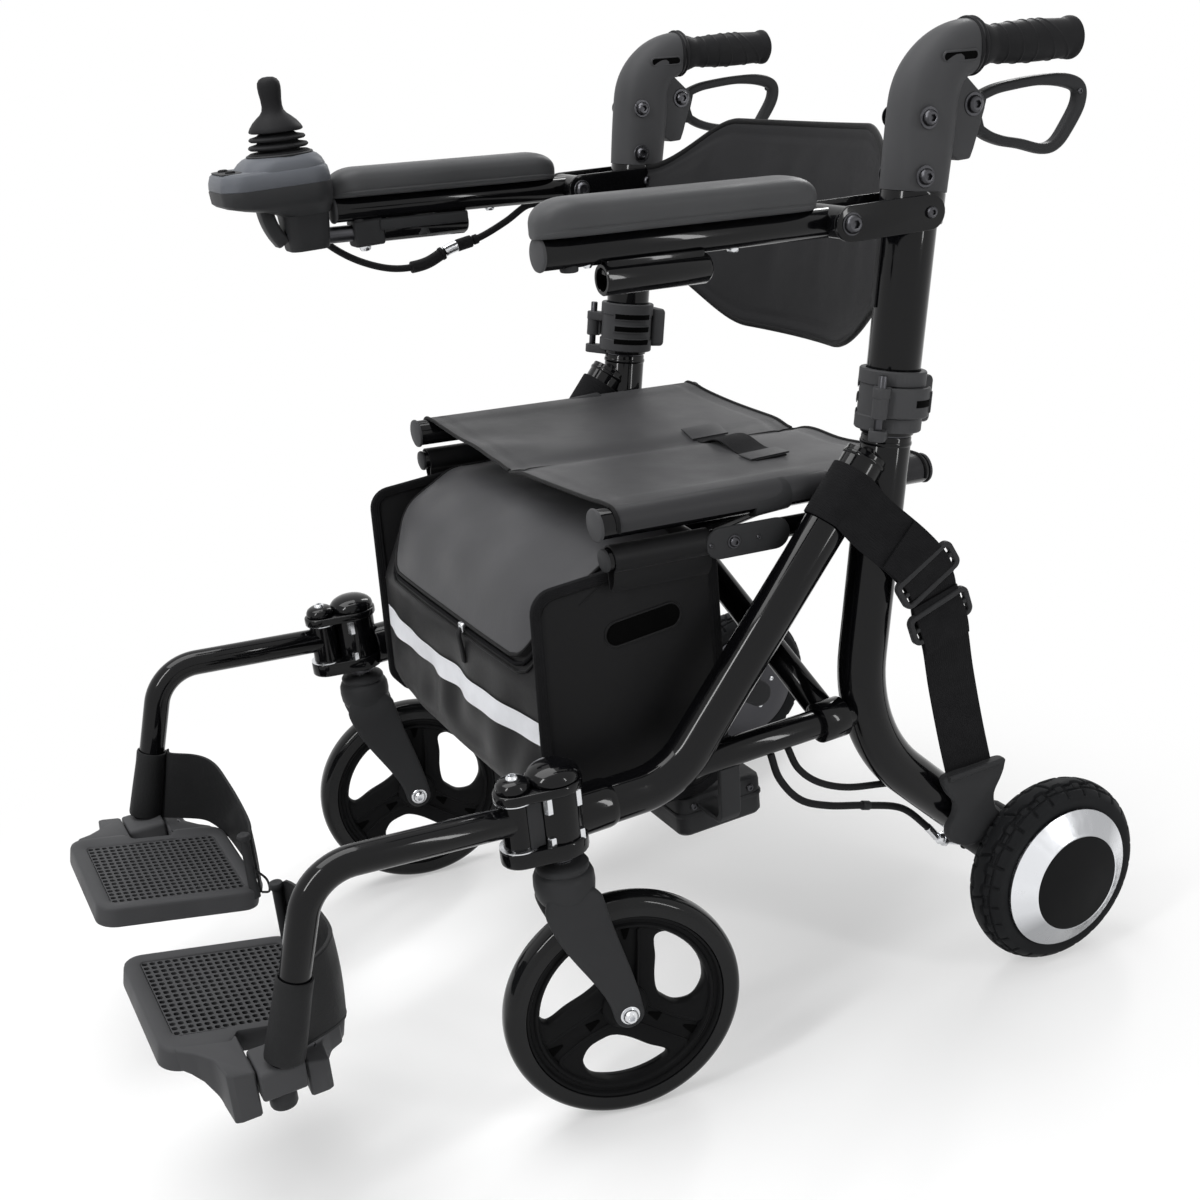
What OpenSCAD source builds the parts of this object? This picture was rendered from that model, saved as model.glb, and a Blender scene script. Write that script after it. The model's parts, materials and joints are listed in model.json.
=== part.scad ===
// Powered rollator and transport chair: two side frames joined by a folding cross,
// sliding handle posts, flip-up armrests, swing-away footrests and hub-motor rear wheels.
// +Z up, the chair faces -Y, +X is the sitter's left. The origin is on the floor,
// under the middle of the chair's box.

/* [Wheels] */
// Distance between the front and rear axles
wheelbase = 450; // [435:1:465]
// Radius of the rear tyre
rear_r = 90; // [86:1:94]
// Width of the rear tyre
rear_w = 40; // [36:1:42]
// Radius of the front tyre
front_r = 104; // [98:1:106]
// Width of the front tyre
front_w = 26; // [22:1:28]
// How far the front axle trails its swivel
trail = 38; // [34:1:42]
// Turn of the front forks at rest, in degrees
swivel = -11; // [-20:1:0]

/* [Frame] */
// Distance from the middle to each frame's plane
frame_x = 232; // [226:1:238]
// Radius of the legs
leg_r = 21; // [19:0.5:21.5]
// Radius of the front tubes
front_tube_r = 19; // [17:0.5:19.5]
// Radius of the side braces that carry the cross
brace_r = 12.5; // [11:0.5:13]
// Rearward lean of the handle posts, in degrees
lean = 9.87; // [8:0.1:11]

/* [Seat] */
// Height of the seat rails at the front
seat_z = 505.6; // [500:0.5:512]
// Distance from a frame's plane to its seat rail
rail_gap = 35.5; // [35:0.5:39]
// Radius of the seat rails
rail_r = 12.5; // [11:0.5:12.5]
// Fall of the seat rails towards the back, in degrees
rail_fall = 4; // [3:0.1:4.5]
// Radius of the cross tubes
cross_r = 12.5; // [11:0.5:13]

/* [Posts and handles] */
// Height of the foot of the sliding posts
post_z = 535; // [530:1:540]
// Outer radius of the sliding posts
post_r = 22.3; // [21.8:0.1:23]
// Height of the hand grips
grip_z = 835; // [830:1:845]
// Radius of the hand grips
grip_r = 16.5; // [15.5:0.5:17]

/* [Armrests] */
// Drop from the grips to the armrest pivots
arm_drop = 119; // [116:1:121]
// Length of the armrests ahead of their pivots
arm_len = 255; // [245:1:265]
// Width of the pads
pad_w = 50; // [46:1:52]
// Thickness of the pads
pad_t = 28; // [24:1:30]

/* [Footrests] */
// Height of the front edge of the footplates
plate_z = 180; // [175:1:185]
// Depth of the footplates, front to back
plate_depth = 147; // [140:1:150]
// Distance from the middle to the footplates' inner edges
plate_in = 44; // [40:1:50]
// Radius of the footrest tubes
foot_r = 12.5; // [11.5:0.5:12.5]

/* [Hidden] */
$fn = 64;

// Radial play of a turning fit, and the gap between pieces that pass each other
fit = 0.05;
gap = 0.3;
// How far a cut reaches past the face that it opens
over = 1;

tube_black = [0.05, 0.05, 0.055];
plastic_black = [0.1, 0.1, 0.105];
rubber_black = [0.07, 0.07, 0.07];
cloth_black = [0.12, 0.12, 0.125];
silver = [0.72, 0.73, 0.75];

// Axles: y runs from the middle of the wheelbase until place() moves it to the origin
rear_y = wheelbase / 2;
rear_x = frame_x + 46.8;
axle_r = 8;
caster_x = frame_x + 10;
stem_y = -wheelbase / 2 - 32;
stem_r = 10;
spacer_r = 15;
fork_axle_r = 6;

// Caster housing: two plates over the fork hold the stem and the footrest pivot
foot_pivot_y = stem_y - 34;
foot_pivot_r = 6;
knuckle_r = 13;
fork_room = 54;
plate_lo = 2 * front_r + fork_room;
plate_hi = plate_lo + 64;
plate_lo_t = 14;
plate_hi_t = 8;
barrel_r = 20;
front_tube_z = plate_lo + 21;
brace_z = front_tube_z + 8;

// Handle post line: a point on it, then its rearward y at any height
post_foot_y = 85.4;
function post_y(z) = post_foot_y + (z - post_z) * tan(lean);
function on_post_z(z) = (z - post_z) / cos(lean);

// Leg: down the post line, round the knee and back to the rear axle at 45 degrees
leg_end = [rear_y - 29, rear_r + 22];
knee_z = (leg_end[0] + leg_end[1] - post_foot_y + post_z * tan(lean)) / (1 + tan(lean));
knee = [post_y(knee_z), knee_z];
knee_bend = 150;
leg_top_z = post_z - 1;
spigot_r = post_r - 2.4;
spigot_top_z = grip_z - 150;

// Front tube: from below the post's foot down to the caster housing
tube_bend = 70;
tube_low = [stem_y + 111, front_tube_z];
tube_high = [post_y(post_z - 15) - 17, post_z - 15];
tube_slope = (tube_high[1] - tube_low[1]) / (tube_high[0] - tube_low[0]);
tube_end_y = stem_y + 24;
function tube_y(z) = tube_low[0] + (z - tube_low[1]) / tube_slope;

// Seat rails: the moving rails stop ahead of the legs, and fixed stubs carry on behind them
rail_x = frame_x - rail_gap;
rail_front_y = -174;
rail_rear_y = 48;
stub_front_y = rail_rear_y + 5;
stub_rear_y = 148;
function rail_h(y) = seat_z - (y - rail_front_y) * tan(rail_fall);
low_r = 9;
low_x = frame_x - 32;
low_drop = 29.5;
function low_h(y) = rail_h(y) - low_drop;
low_front_y = rail_front_y + 3;
low_rear_y = 90;
lug_r = 7;

// Folding cross: each tube runs from one brace to the opposite seat rail
cross_gap = 28;
sleeve_r = brace_r + 5.5;
sleeve_len = 26;
cross_bolt_r = 5;
cross_rise = (rail_h(0) - brace_z) / (frame_x + rail_x);
cross_pivot_z = brace_z + frame_x * cross_rise;

// Armrests
arm_z = grip_z - arm_drop;
arm_pivot_y = 40;
arm_pin_r = 5;
arm_tilt = 3;
arm_r = 10.5;
cheek_in = post_r + 0.2;
cheek_t = 4;
cheek_r = 14;
socket_r = 8;
socket_wall = 4;
socket_drop = 23.5;
socket_out = 4;
socket_front = arm_len - 27;
socket_len = 60;

// Arm pads: rounded ends, a crown, and sides drawn in towards the base
pad_end = 18;
pad_draw = 0.07;
pad_square = 0.5;
pad_points = 28;
function squared(v) = sign(v) * pow(abs(v), pad_square);
function pad_ring(y, half, h) = [
    for (k = [0 : pad_points - 1])
        let (
            turn = 360 * k / pad_points,
            rise = (1 + squared(sin(turn))) / 2
        )
        [half * squared(cos(turn)) * (1 - pad_draw * (1 - rise)), y, h * rise]
];

// Sling: thickness, sag between the rails, and the crease that it folds along; u is 1 at the rail's shelf
sling_t = 4;
sling_sag = 8;
sling_crease = 4;
function sling_drop(u) = abs(u) > 1 ? 0 : sling_sag * (1 - u * u) + sling_crease * exp(-pow(12 * u, 2));

// Back panel, from the middle of its height: edges at its sides and middle, bow and padding
back_z = grip_z - 145;
back_side_lo = -54;
back_side_hi = 38;
back_mid_lo = -105;
back_mid_hi = 88;
back_bow = 60;
back_t = 6;
back_puff = 6;
back_flat_lo = 0.35;
back_flat_hi = 0.5;
function back_edge(u, side, mid, flat) =
    mid + (side - mid) * (1 - cos(180 * max(0, (abs(u) - flat) / (1 - flat)))) / 2;

// Handles
grip_fall = 2;
cover_r = post_r + 1.7;
cover_bend = 45;
cover_foot_z = grip_z - 106;
post_top_z = grip_z - 63.6;
grip_corner = [post_y(grip_z), grip_z];
function grip_at(d) = grip_corner + d * [cos(grip_fall), -sin(grip_fall)];
core_r = 12.9;
grip_start = 44;
grip_len = 104;
clevis = grip_corner + [12.4, -24];
lever_pin = grip_corner + [34.4, -45];
lever_pin_r = 4;
lever_t = 13;

// Footrests
foot_bend = 40;
foot_bend_at = [foot_pivot_y - 170, plate_lo + 51];
foot_lean = 16.4;
function foot_y(z) = foot_bend_at[0] - (foot_bend_at[1] - z) * tan(foot_lean);
hinge_x = caster_x - 18;
hinge_z = plate_z - 34;
hinge_y = -510;
hinge_half = 19;
ear_t = 13;
pin_r = 6;
plate_front = -587;
plate_t = 14;
plate_out = hinge_x - 42;
plate_fall = 0.2177;
function plate_top(y) = plate_z - (y - plate_front) * plate_fall;

// Joystick
joy_x = -frame_x - 3;
joy_y = arm_pivot_y - arm_len - 43;
joy_z = arm_z + 56;
joy_top = joy_z + 23;
joy_step = joy_z + 4;
joy_pin_r = 3;
joy_axle_r = 4;
button_r = 5;
button_y = joy_y - 53;
button_x = 13;

// The chair's front edge and its rear tyre are equally far from the origin
y_shift = -(plate_front + rear_y + rear_r) / 2;

// Brake cable: from under the brace, ahead of the knee and along the leg to its end
cable_r = 3;
cable_x = frame_x - 16;
brake_route = [
    [cable_x, -38, brace_z - 23],
    [cable_x, -30, brace_z - 51],
    [cable_x, knee[0] - 49, knee[1] - 56],
    [cable_x, knee[0] - 19, knee[1] - 72],
    [cable_x, leg_end[0] - 136, leg_end[1] + 72],
    [cable_x, leg_end[0] - 96, leg_end[1] + 56],
    [cable_x - 1, leg_end[0] - 68, leg_end[1] + 28],
    [cable_x - 2, leg_end[0] - 54, leg_end[1] + 11]
];
adjuster = [cable_x - 2, leg_end[0] - 51, leg_end[1] + 8];

// Controller lead under the right armrest: [share of the armrest's length, x outwards, height over the pivot]
controller_r = 3.5;
lead = [
    [1.082, 24, 16], [1.067, 24, -4], [0.988, 24, -26], [0.878, 24, -44], [0.753, 24, -55], [0.627, 24, -55],
    [0.51, 24, -44], [0.384, 23, -38], [0.267, 20, -26], [0.18, 14, -13], [0.125, 8, -12]
];
controller_route = [for (p = lead) [-frame_x - p[1], arm_pivot_y - p[0] * arm_len, arm_z + p[2]]];

function unit(v) = v / norm(v);
function wrap(a) = a > 180 ? a - 360 : a < -180 ? a + 360 : a;

// Moves the shapes to the origin, and mirrors them for the right side
module place(side = "left") {
    translate([0, y_shift, 0])
        mirror([side == "right" ? 1 : 0, 0, 0])
            children();
}

// The forks turn the same way on both sides, so the right one is moved across and not mirrored
module place_fork(side) {
    place() translate([side == "right" ? -2 * caster_x : 0, 0, 0]) children();
}

// Round rod between two points
module rod(a, b, r) {
    v = b - a;
    translate(a)
        rotate([0, acos(v[2] / norm(v)), atan2(v[1], v[0])])
            cylinder(h = norm(v), r = r);
}

// Round rod along X or along Y
module rod_x(x0, x1, y, z, r) {
    translate([x0, y, z]) rotate([0, 90, 0]) cylinder(h = x1 - x0, r = r);
}

module rod_y(y0, y1, x, z, r) {
    translate([x, y0, z]) rotate([-90, 0, 0]) cylinder(h = y1 - y0, r = r);
}

// Stands a drawing of [y, z] up in a plane of constant x
module in_side(x) {
    translate([x, 0, 0]) rotate([90, 0, 90]) children();
}

// Tube with one bend in a plane of constant x, through the [y, z] points a, v and b.
// The bend is a hair thicker than the straight runs, which reach a little way into it.
bend_swell = 0.25;
bend_lap = 3;
module bent_tube(x, a, v, b, bend, r) {
    to_a = unit(a - v);
    to_b = unit(b - v);
    half = acos(to_a * to_b) / 2;
    start = v + to_a * bend / tan(half);
    end = v + to_b * bend / tan(half);
    centre = v + unit(to_a + to_b) * bend / sin(half);
    first = atan2(start[1] - centre[1], start[0] - centre[0]);
    last = atan2(end[1] - centre[1], end[0] - centre[0]);
    sweep = wrap(last - first);
    start_in = start - to_a * bend_lap;
    end_in = end - to_b * bend_lap;
    in_side(x) {
        rod([a[0], a[1], 0], [start_in[0], start_in[1], 0], r);
        translate([centre[0], centre[1], 0])
            rotate([0, 0, sweep > 0 ? first : last])
                rotate_extrude(angle = abs(sweep))
                    translate([bend, 0])
                        circle(r + bend_swell);
        rod([end_in[0], end_in[1], 0], [b[0], b[1], 0], r);
    }
}

// Flat bar that tapers from one half width to another
module bar_outline(a, half_a, b, half_b) {
    way = unit(b - a);
    side = [-way[1], way[0]];
    polygon([a + half_a * side, b + half_b * side, b - half_b * side, a - half_a * side]);
}

// Flat link: two round ends joined by their outer tangents
module link_outline(a, ra, b, rb) {
    way = b - a;
    across = acos((ra - rb) / norm(way));
    heading = atan2(way[1], way[0]);
    up = [cos(heading + across), sin(heading + across)];
    down = [cos(heading - across), sin(heading - across)];
    translate(a) circle(ra);
    translate(b) circle(rb);
    polygon([a + ra * up, b + rb * up, b + rb * down, a + ra * down]);
}

// Rectangle with round corners, from its low corner
module round_rect(w, h, r) {
    translate([r, 0]) square([w - 2 * r, h]);
    translate([0, r]) square([w, h - 2 * r]);
    for (x = [r, w - r], y = [r, h - r])
        translate([x, y]) circle(r);
}

// Shallow round cap of a sphere
module dome(r, h) {
    ball = (r * r + h * h) / (2 * h);
    intersection() {
        translate([0, 0, h - ball]) sphere(ball);
        cylinder(h = h, r = r);
    }
}

// Frame of a handle post: its foot at the origin and its axis along Z
module on_post() {
    translate([frame_x, post_y(post_z), post_z]) rotate([-lean, 0, 0]) children();
}

// Frame of an armrest: its pivot at the origin and the arm along -Y
module on_arm() {
    translate([frame_x, arm_pivot_y, arm_z]) rotate([-arm_tilt, 0, 0]) children();
}

// Closed skin over a row of flat rings, each with the same even number of points
module skin(rings) {
    count = len(rings[0]);
    end = (len(rings) - 1) * count;
    points = [for (ring = rings) each ring];
    walls = [
        for (i = [0 : len(rings) - 2], k = [0 : count - 1])
            let (
                a = i * count + k,
                b = i * count + (k + 1) % count
            )
            each [[a, b, b + count], [a, b + count, a + count]]
    ];
    ladder = [
        for (k = [0 : count / 2 - 2])
            each [[k, k + 1, count - 2 - k], [k, count - 2 - k, count - 1 - k]]
    ];
    first_cap = [for (step = ladder) [step[0], step[2], step[1]]];
    last_cap = [for (step = ladder) [for (corner = step) end + corner]];
    polyhedron(points, concat(walls, first_cap, last_cap));
}

// Tube swept along a route, closed at both ends
cable_sides = 8;
module swept_cable(route, r) {
    last = len(route) - 1;
    skin([
        for (i = [0 : last])
            let (
                way = unit(route[min(i + 1, last)] - route[max(i - 1, 0)]),
                side = unit(cross(way, abs(way[0]) < 0.9 ? [1, 0, 0] : [0, 0, 1])),
                up = cross(way, side)
            )
            [
                for (k = [0 : cable_sides - 1])
                    let (turn = 360 * k / cable_sides)
                    route[i] + r * (cos(turn) * side + sin(turn) * up)
            ]
    ]);
}

// Welded side frame: leg with spigot, front tube, brace, low rail and rear seat stub
module side_frame() {
    color(tube_black) {
        bent_tube(frame_x, [post_y(leg_top_z), leg_top_z], knee, leg_end, knee_bend, leg_r);
        rod([frame_x, post_y(post_z - 15), post_z - 15],
            [frame_x, post_y(spigot_top_z), spigot_top_z], spigot_r);
        bent_tube(frame_x, tube_high, tube_low, [tube_end_y, tube_low[1]], tube_bend, front_tube_r);
        rod_y(tube_low[0] + 11, knee[0] + 12, frame_x, brace_z, brace_r);
        rod([low_x, low_front_y, low_h(low_front_y)], [low_x, low_rear_y, low_h(low_rear_y)], low_r);
        rod_x(low_x, frame_x, tube_y(low_h(15)), low_h(15), lug_r);
        rod_x(low_x, frame_x, post_y(low_h(72)), low_h(72), lug_r);
        rod([rail_x, stub_front_y, rail_h(stub_front_y)],
            [rail_x, stub_rear_y, rail_h(stub_rear_y)], rail_r);
        rod_x(rail_x, frame_x, post_y(rail_h(76)), rail_h(76), lug_r);
    }
}

// Flat bracket between the low rail and the front tube, with its two bolt heads
module rail_bracket() {
    plate_x = low_x + low_r + gap;
    thick = frame_x - front_tube_r - low_x - low_r - 2 * gap;
    rear = [-16, low_h(-16)];
    front = [-70, low_h(-70)];
    color(tube_black)
        in_side(plate_x)
            linear_extrude(thick)
                link_outline(front, lug_r + 5, rear, lug_r + 5);
    color(silver)
        rod_x(plate_x + thick, plate_x + thick + 4, front[0], front[1], 5);
}

// Housing of one caster stem, with the footrest's pivot pin between its plates
module caster_housing() {
    collar_r = front_tube_r + 5;
    collar_y = stem_y + spacer_r + over;
    color(plastic_black)
        difference() {
            union() {
                for (level = [[plate_lo, plate_lo_t], [plate_hi - plate_hi_t, plate_hi_t]])
                    translate([0, 0, level[0]])
                        linear_extrude(level[1])
                            link_outline([caster_x, stem_y], barrel_r + 4,
                                [caster_x, foot_pivot_y], knuckle_r + 4);
                translate([caster_x, stem_y, plate_lo]) cylinder(h = plate_hi - plate_lo, r = barrel_r);
                rod_y(collar_y, collar_y + 36, frame_x, front_tube_z, collar_r);
                translate([caster_x, stem_y, plate_hi]) dome(barrel_r + 2, 9);
                translate([caster_x, foot_pivot_y, plate_hi]) dome(knuckle_r + 1, 8);
                translate([caster_x, foot_pivot_y, plate_lo])
                    cylinder(h = plate_hi - plate_lo, r = foot_pivot_r);
            }
            translate([caster_x, stem_y, plate_lo - over])
                cylinder(h = plate_hi - plate_lo - 2 * over, r = stem_r + fit);
            rod_y(tube_end_y - over, collar_y + 36 + over, frame_x, front_tube_z, front_tube_r + fit);
        }
}

// Frame of a caster fork: its stem on Z, and the wheel trailing along Y at rest
module on_fork() {
    translate([caster_x, stem_y, 0]) rotate([0, 0, swivel]) children();
}

// Swivelling fork with its stem and the front axle
module caster_fork() {
    crown_lo = 2 * front_r + 8;
    crown_hi = crown_lo + 30;
    leg_in = front_w / 2 + 2.5;
    leg_t = 5.5;
    color(plastic_black)
        on_fork() {
            translate([0, 0, crown_lo + 8]) cylinder(h = plate_hi - 5 - crown_lo - 8, r = stem_r);
            translate([0, 0, crown_hi - over]) cylinder(h = plate_lo - gap - crown_hi + over, r = spacer_r);
            translate([0, 0, crown_lo]) cylinder(h = crown_hi - crown_lo, r = leg_in + leg_t + 2);
            for (x = [-leg_in - leg_t, leg_in])
                in_side(x)
                    linear_extrude(leg_t)
                        link_outline([0, crown_lo + 12], 20, [trail, front_r], 13);
            rod_x(-leg_in - leg_t - 5, leg_in + leg_t + 5, trail, front_r, fork_axle_r);
            for (x = [-leg_in - leg_t - 5, leg_in + leg_t])
                rod_x(x, x + 5, trail, front_r, 9);
        }
}

// Frame of a front wheel: its axle along Z
module on_front_axle() {
    on_fork() translate([0, trail, front_r]) rotate([0, 90, 0]) children();
}

// Front rim with three spokes
module front_wheel() {
    rim_r = front_r - 18;
    rim_half = front_w / 2 - 2;
    hub_half = front_w / 2 + 2;
    spoke_half = 8;
    color(plastic_black)
        on_front_axle()
            difference() {
                union() {
                    translate([0, 0, -hub_half]) cylinder(h = 2 * hub_half, r = 20);
                    translate([0, 0, -rim_half])
                        linear_extrude(2 * rim_half)
                            difference() {
                                circle(rim_r);
                                circle(rim_r - 14);
                            }
                    translate([0, 0, -spoke_half])
                        for (turn = [0, 120, 240])
                            rotate([0, 0, turn])
                                linear_extrude(2 * spoke_half)
                                    bar_outline([0, 0], 14, [rim_r - 7, 0], 12);
                }
                translate([0, 0, -hub_half - over])
                    cylinder(h = 2 * hub_half + 2 * over, r = fork_axle_r + fit);
            }
}

// Solid tyre: a band with round shoulders
module tyre(inner, outer, width, shoulder) {
    rotate_extrude()
        translate([inner, -width / 2]) {
            square([outer - inner - shoulder, width]);
            translate([0, shoulder]) square([outer - inner, width - 2 * shoulder]);
            for (z = [shoulder, width - shoulder])
                translate([outer - inner - shoulder, z]) circle(shoulder);
        }
}

module front_tyre() {
    color(rubber_black) on_front_axle() tyre(front_r - 18 + fit, front_r, front_w, 7);
}

// Bracket on the leg's end that holds the rear axle, with the cable's adjuster
module motor_mount() {
    back = [-cos(45), sin(45)];
    collar_start = leg_end + 38 * back;
    collar_stop = leg_end - 9 * back;
    color(plastic_black) {
        difference() {
            union() {
                rod([frame_x, collar_start[0], collar_start[1]],
                    [frame_x, collar_stop[0], collar_stop[1]], leg_r + 4);
                in_side(frame_x - 6)
                    linear_extrude(24)
                        link_outline(leg_end - 6 * back, 17, [rear_y, rear_r], 16);
                rod(adjuster, [frame_x - 4, leg_end[0] - 10, leg_end[1] - 6], 4.5);
            }
            rod([frame_x, collar_start[0] - 2, collar_start[1] + 2],
                [frame_x, leg_end[0] + gap, leg_end[1] - gap], leg_r + fit);
        }
        rod_x(frame_x + 10, rear_x - rear_w / 2 - 1, rear_y, rear_r, 13);
        rod_x(frame_x + 12, rear_x + 23, rear_y, rear_r, axle_r);
    }
}

// Frame of a rear wheel: its axle along Z, outward, with the tyre's middle at the origin
module on_rear_axle() {
    translate([rear_x, rear_y, rear_r]) rotate([0, 90, 0]) children();
}

// Hub motor: drum, bright cone and cap in one casting, on a blind bore
module motor_hub() {
    drum_r = rear_r - 24;
    half = rear_w / 2 - 0.5;
    lip_z = rear_w / 2 + gap;
    cone_z = half + 3;
    face_z = half + 16;
    color(silver)
        on_rear_axle()
            rotate_extrude()
                polygon([
                    [axle_r + fit, -half], [drum_r, -half], [drum_r, lip_z], [drum_r + 2, lip_z],
                    [drum_r + 2, cone_z], [drum_r - 18, face_z - 2], [drum_r - 20, face_z], [0, face_z],
                    [0, half + 5], [axle_r + fit, half + 5]
                ]);
}

module rear_tyre() {
    color(rubber_black) on_rear_axle() tyre(rear_r - 24 + fit, rear_r, rear_w, 10);
}

// Sliding handle post with the armrest's cheeks and pivot pin
module upper_post() {
    top = on_post_z(post_top_z) - gap;
    collar_lo = on_post_z(arm_z) - 12.7;
    collar_hi = on_post_z(cover_foot_z) - gap;
    bore = on_post_z(spigot_top_z) + 37;
    color(tube_black) {
        difference() {
            union() {
                on_post() translate([0, 0, gap]) cylinder(h = top, r = post_r);
                on_post() translate([0, 0, collar_lo]) cylinder(h = collar_hi - collar_lo, r = post_r + 4);
                for (x = [frame_x - cheek_in - cheek_t, frame_x + cheek_in])
                    in_side(x)
                        linear_extrude(cheek_t)
                            link_outline([arm_pivot_y, arm_z], cheek_r,
                                [post_y(arm_z - 2), arm_z - 2], cheek_r);
            }
            on_post() translate([0, 0, -over]) cylinder(h = bore, r = spigot_r + fit);
        }
        rod_x(frame_x - cheek_in - cheek_t, frame_x + cheek_in + cheek_t, arm_pivot_y, arm_z, arm_pin_r);
        for (x = [frame_x - cheek_in - cheek_t - 4, frame_x + cheek_in + cheek_t])
            rod_x(x, x + 4, arm_pivot_y, arm_z, 8);
    }
}

// Moulded elbow over the post's top, with the grip's core and the brake lever's clevis
module handle_cover() {
    elbow_end = grip_at(36);
    core_end = grip_at(grip_start + grip_len - 14);
    collar_end = grip_at(grip_start - gap);
    cover_foot = [post_y(cover_foot_z), cover_foot_z];
    bore_lo = on_post_z(cover_foot_z) - 10;
    bore_hi = on_post_z(post_top_z) + 2;
    ear_t = 5;
    pin_half = lever_t / 2 + ear_t;
    color(plastic_black) {
        difference() {
            union() {
                bent_tube(frame_x, cover_foot, grip_corner, elbow_end, cover_bend, cover_r);
                for (x = [frame_x - lever_t / 2 - gap - ear_t, frame_x + lever_t / 2 + gap])
                    in_side(x)
                        linear_extrude(ear_t)
                            link_outline(clevis, 14, lever_pin, 9);
            }
            on_post() translate([0, 0, bore_lo]) cylinder(h = bore_hi - bore_lo, r = post_r + fit);
        }
        rod([frame_x, elbow_end[0], elbow_end[1]], [frame_x, collar_end[0], collar_end[1]], cover_r - 4);
        rod([frame_x, elbow_end[0], elbow_end[1]], [frame_x, core_end[0], core_end[1]], core_r);
        rod_x(frame_x - pin_half, frame_x + pin_half, lever_pin[0], lever_pin[1], lever_pin_r);
    }
}

// Ribbed hand grip, blind at its outer end
module grip() {
    start = grip_at(grip_start);
    end = grip_at(grip_start + grip_len);
    stop = grip_at(grip_start + grip_len - 12);
    inner = grip_at(grip_start - over);
    color(rubber_black)
        difference() {
            rod([frame_x, start[0], start[1]], [frame_x, end[0], end[1]], grip_r);
            rod([frame_x, inner[0], inner[1]], [frame_x, stop[0], stop[1]], core_r + fit);
        }
}

// Brake lever: a closed loop below the grip, hung on its pin
module brake_lever() {
    bends = [[0, 0], [63, 9], [120, -2], [90, -46], [40, -34], [2, -22]];
    loop = [for (bend = bends) lever_pin + bend];
    radii = [9, 6, 7, 7, 6, 8];
    color(plastic_black)
        in_side(frame_x - lever_t / 2)
            difference() {
                union() {
                    for (i = [0 : len(loop) - 1])
                        translate(loop[i]) cylinder(h = lever_t, r = radii[i]);
                    for (i = [0 : len(loop) - 1])
                        let (next = (i + 1) % len(loop))
                        linear_extrude(lever_t)
                            bar_outline(loop[i], radii[i] - 1, loop[next], radii[next] - 1);
                }
                translate([lever_pin[0], lever_pin[1], -over])
                    cylinder(h = lever_t + 2 * over, r = lever_pin_r + fit);
            }
}

// Clamp collar at the post's foot: slotted ring, rear nut box and the front ears of its lever
lever_axis = [23.6, -27.9];
clamp_pin_r = 3.5;
clamp_lo = 4;
clamp_h = 50;
clamp_wall = 5.6;
clamp_r = post_r + clamp_wall;
ear_h = 9;
module post_clamp() {
    nut_box = [26, 14, 40];
    slot_h = 6;
    color(plastic_black)
        on_post()
            translate([0, 0, clamp_lo]) {
                difference() {
                    union() {
                        cylinder(h = clamp_h, r = clamp_r);
                        translate([-nut_box[0] + 8, post_r + 2, (clamp_h - nut_box[2]) / 2]) cube(nut_box);
                        for (z = [3, clamp_h - 3 - ear_h])
                            translate([0, 0, z])
                                linear_extrude(ear_h)
                                    bar_outline([12, -14], 8, lever_axis, 6);
                        for (z = [3, clamp_h - 3 - ear_h])
                            translate([lever_axis[0], lever_axis[1], z]) cylinder(h = ear_h, r = 7);
                    }
                    translate([0, 0, -over]) cylinder(h = clamp_h + 2 * over, r = post_r + fit);
                    for (z = [9, 22, 35])
                        translate([-post_r - 10, -18, z]) cube([post_r, 30, slot_h]);
                }
                translate([lever_axis[0], lever_axis[1], 3]) cylinder(h = clamp_h - 6, r = clamp_pin_r);
            }
}

// Cam lever of the clamp: a band that lies round the outer side of the collar
module clamp_lever() {
    lever_lo = clamp_lo + 3 + ear_h + gap;
    lever_h = clamp_h - 2 * (3 + ear_h + gap);
    band_in = clamp_r + gap + 0.2;
    band_t = 4;
    band_from = -50;
    band_to = 55;
    reach = 3 * clamp_r;
    color(plastic_black)
        on_post()
            translate([0, 0, lever_lo])
                difference() {
                    union() {
                        translate(lever_axis) cylinder(h = lever_h, r = 6.5);
                        linear_extrude(lever_h)
                            difference() {
                                circle(band_in + band_t);
                                circle(band_in);
                                polygon([
                                    [0, 0], reach * [cos(band_to), sin(band_to)], [-reach, reach],
                                    [-reach, -reach], reach * [cos(band_from), sin(band_from)]
                                ]);
                            }
                        rotate([0, 0, 48])
                            translate([band_in + 1, -4, 3])
                                cube([band_t + 3, 8, lever_h - 6]);
                    }
                    translate([lever_axis[0], lever_axis[1], -over])
                        cylinder(h = lever_h + 2 * over, r = clamp_pin_r + fit);
                }
}

// Armrest tube with its knuckle and the controller socket under it
module arm_tube() {
    knuckle_half = cheek_in - gap;
    socket_y = -socket_front + 40;
    color(tube_black)
        on_arm()
            difference() {
                union() {
                    rod_y(-arm_len, 0, 0, 0, arm_r);
                    rod_x(-knuckle_half, knuckle_half, 0, 0, knuckle_r);
                    rod_y(socket_y, socket_y + socket_len, socket_out, -socket_drop, socket_r + socket_wall);
                    translate([socket_out - 8, socket_y + 6, -socket_drop + 10])
                        cube([12, socket_len - 12, socket_drop - 14]);
                }
                rod_x(-knuckle_half - over, knuckle_half + over, 0, 0, arm_pin_r + fit);
                rod_y(socket_y - over, socket_y + socket_len - 6, socket_out, -socket_drop, socket_r + fit);
            }
}

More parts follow.
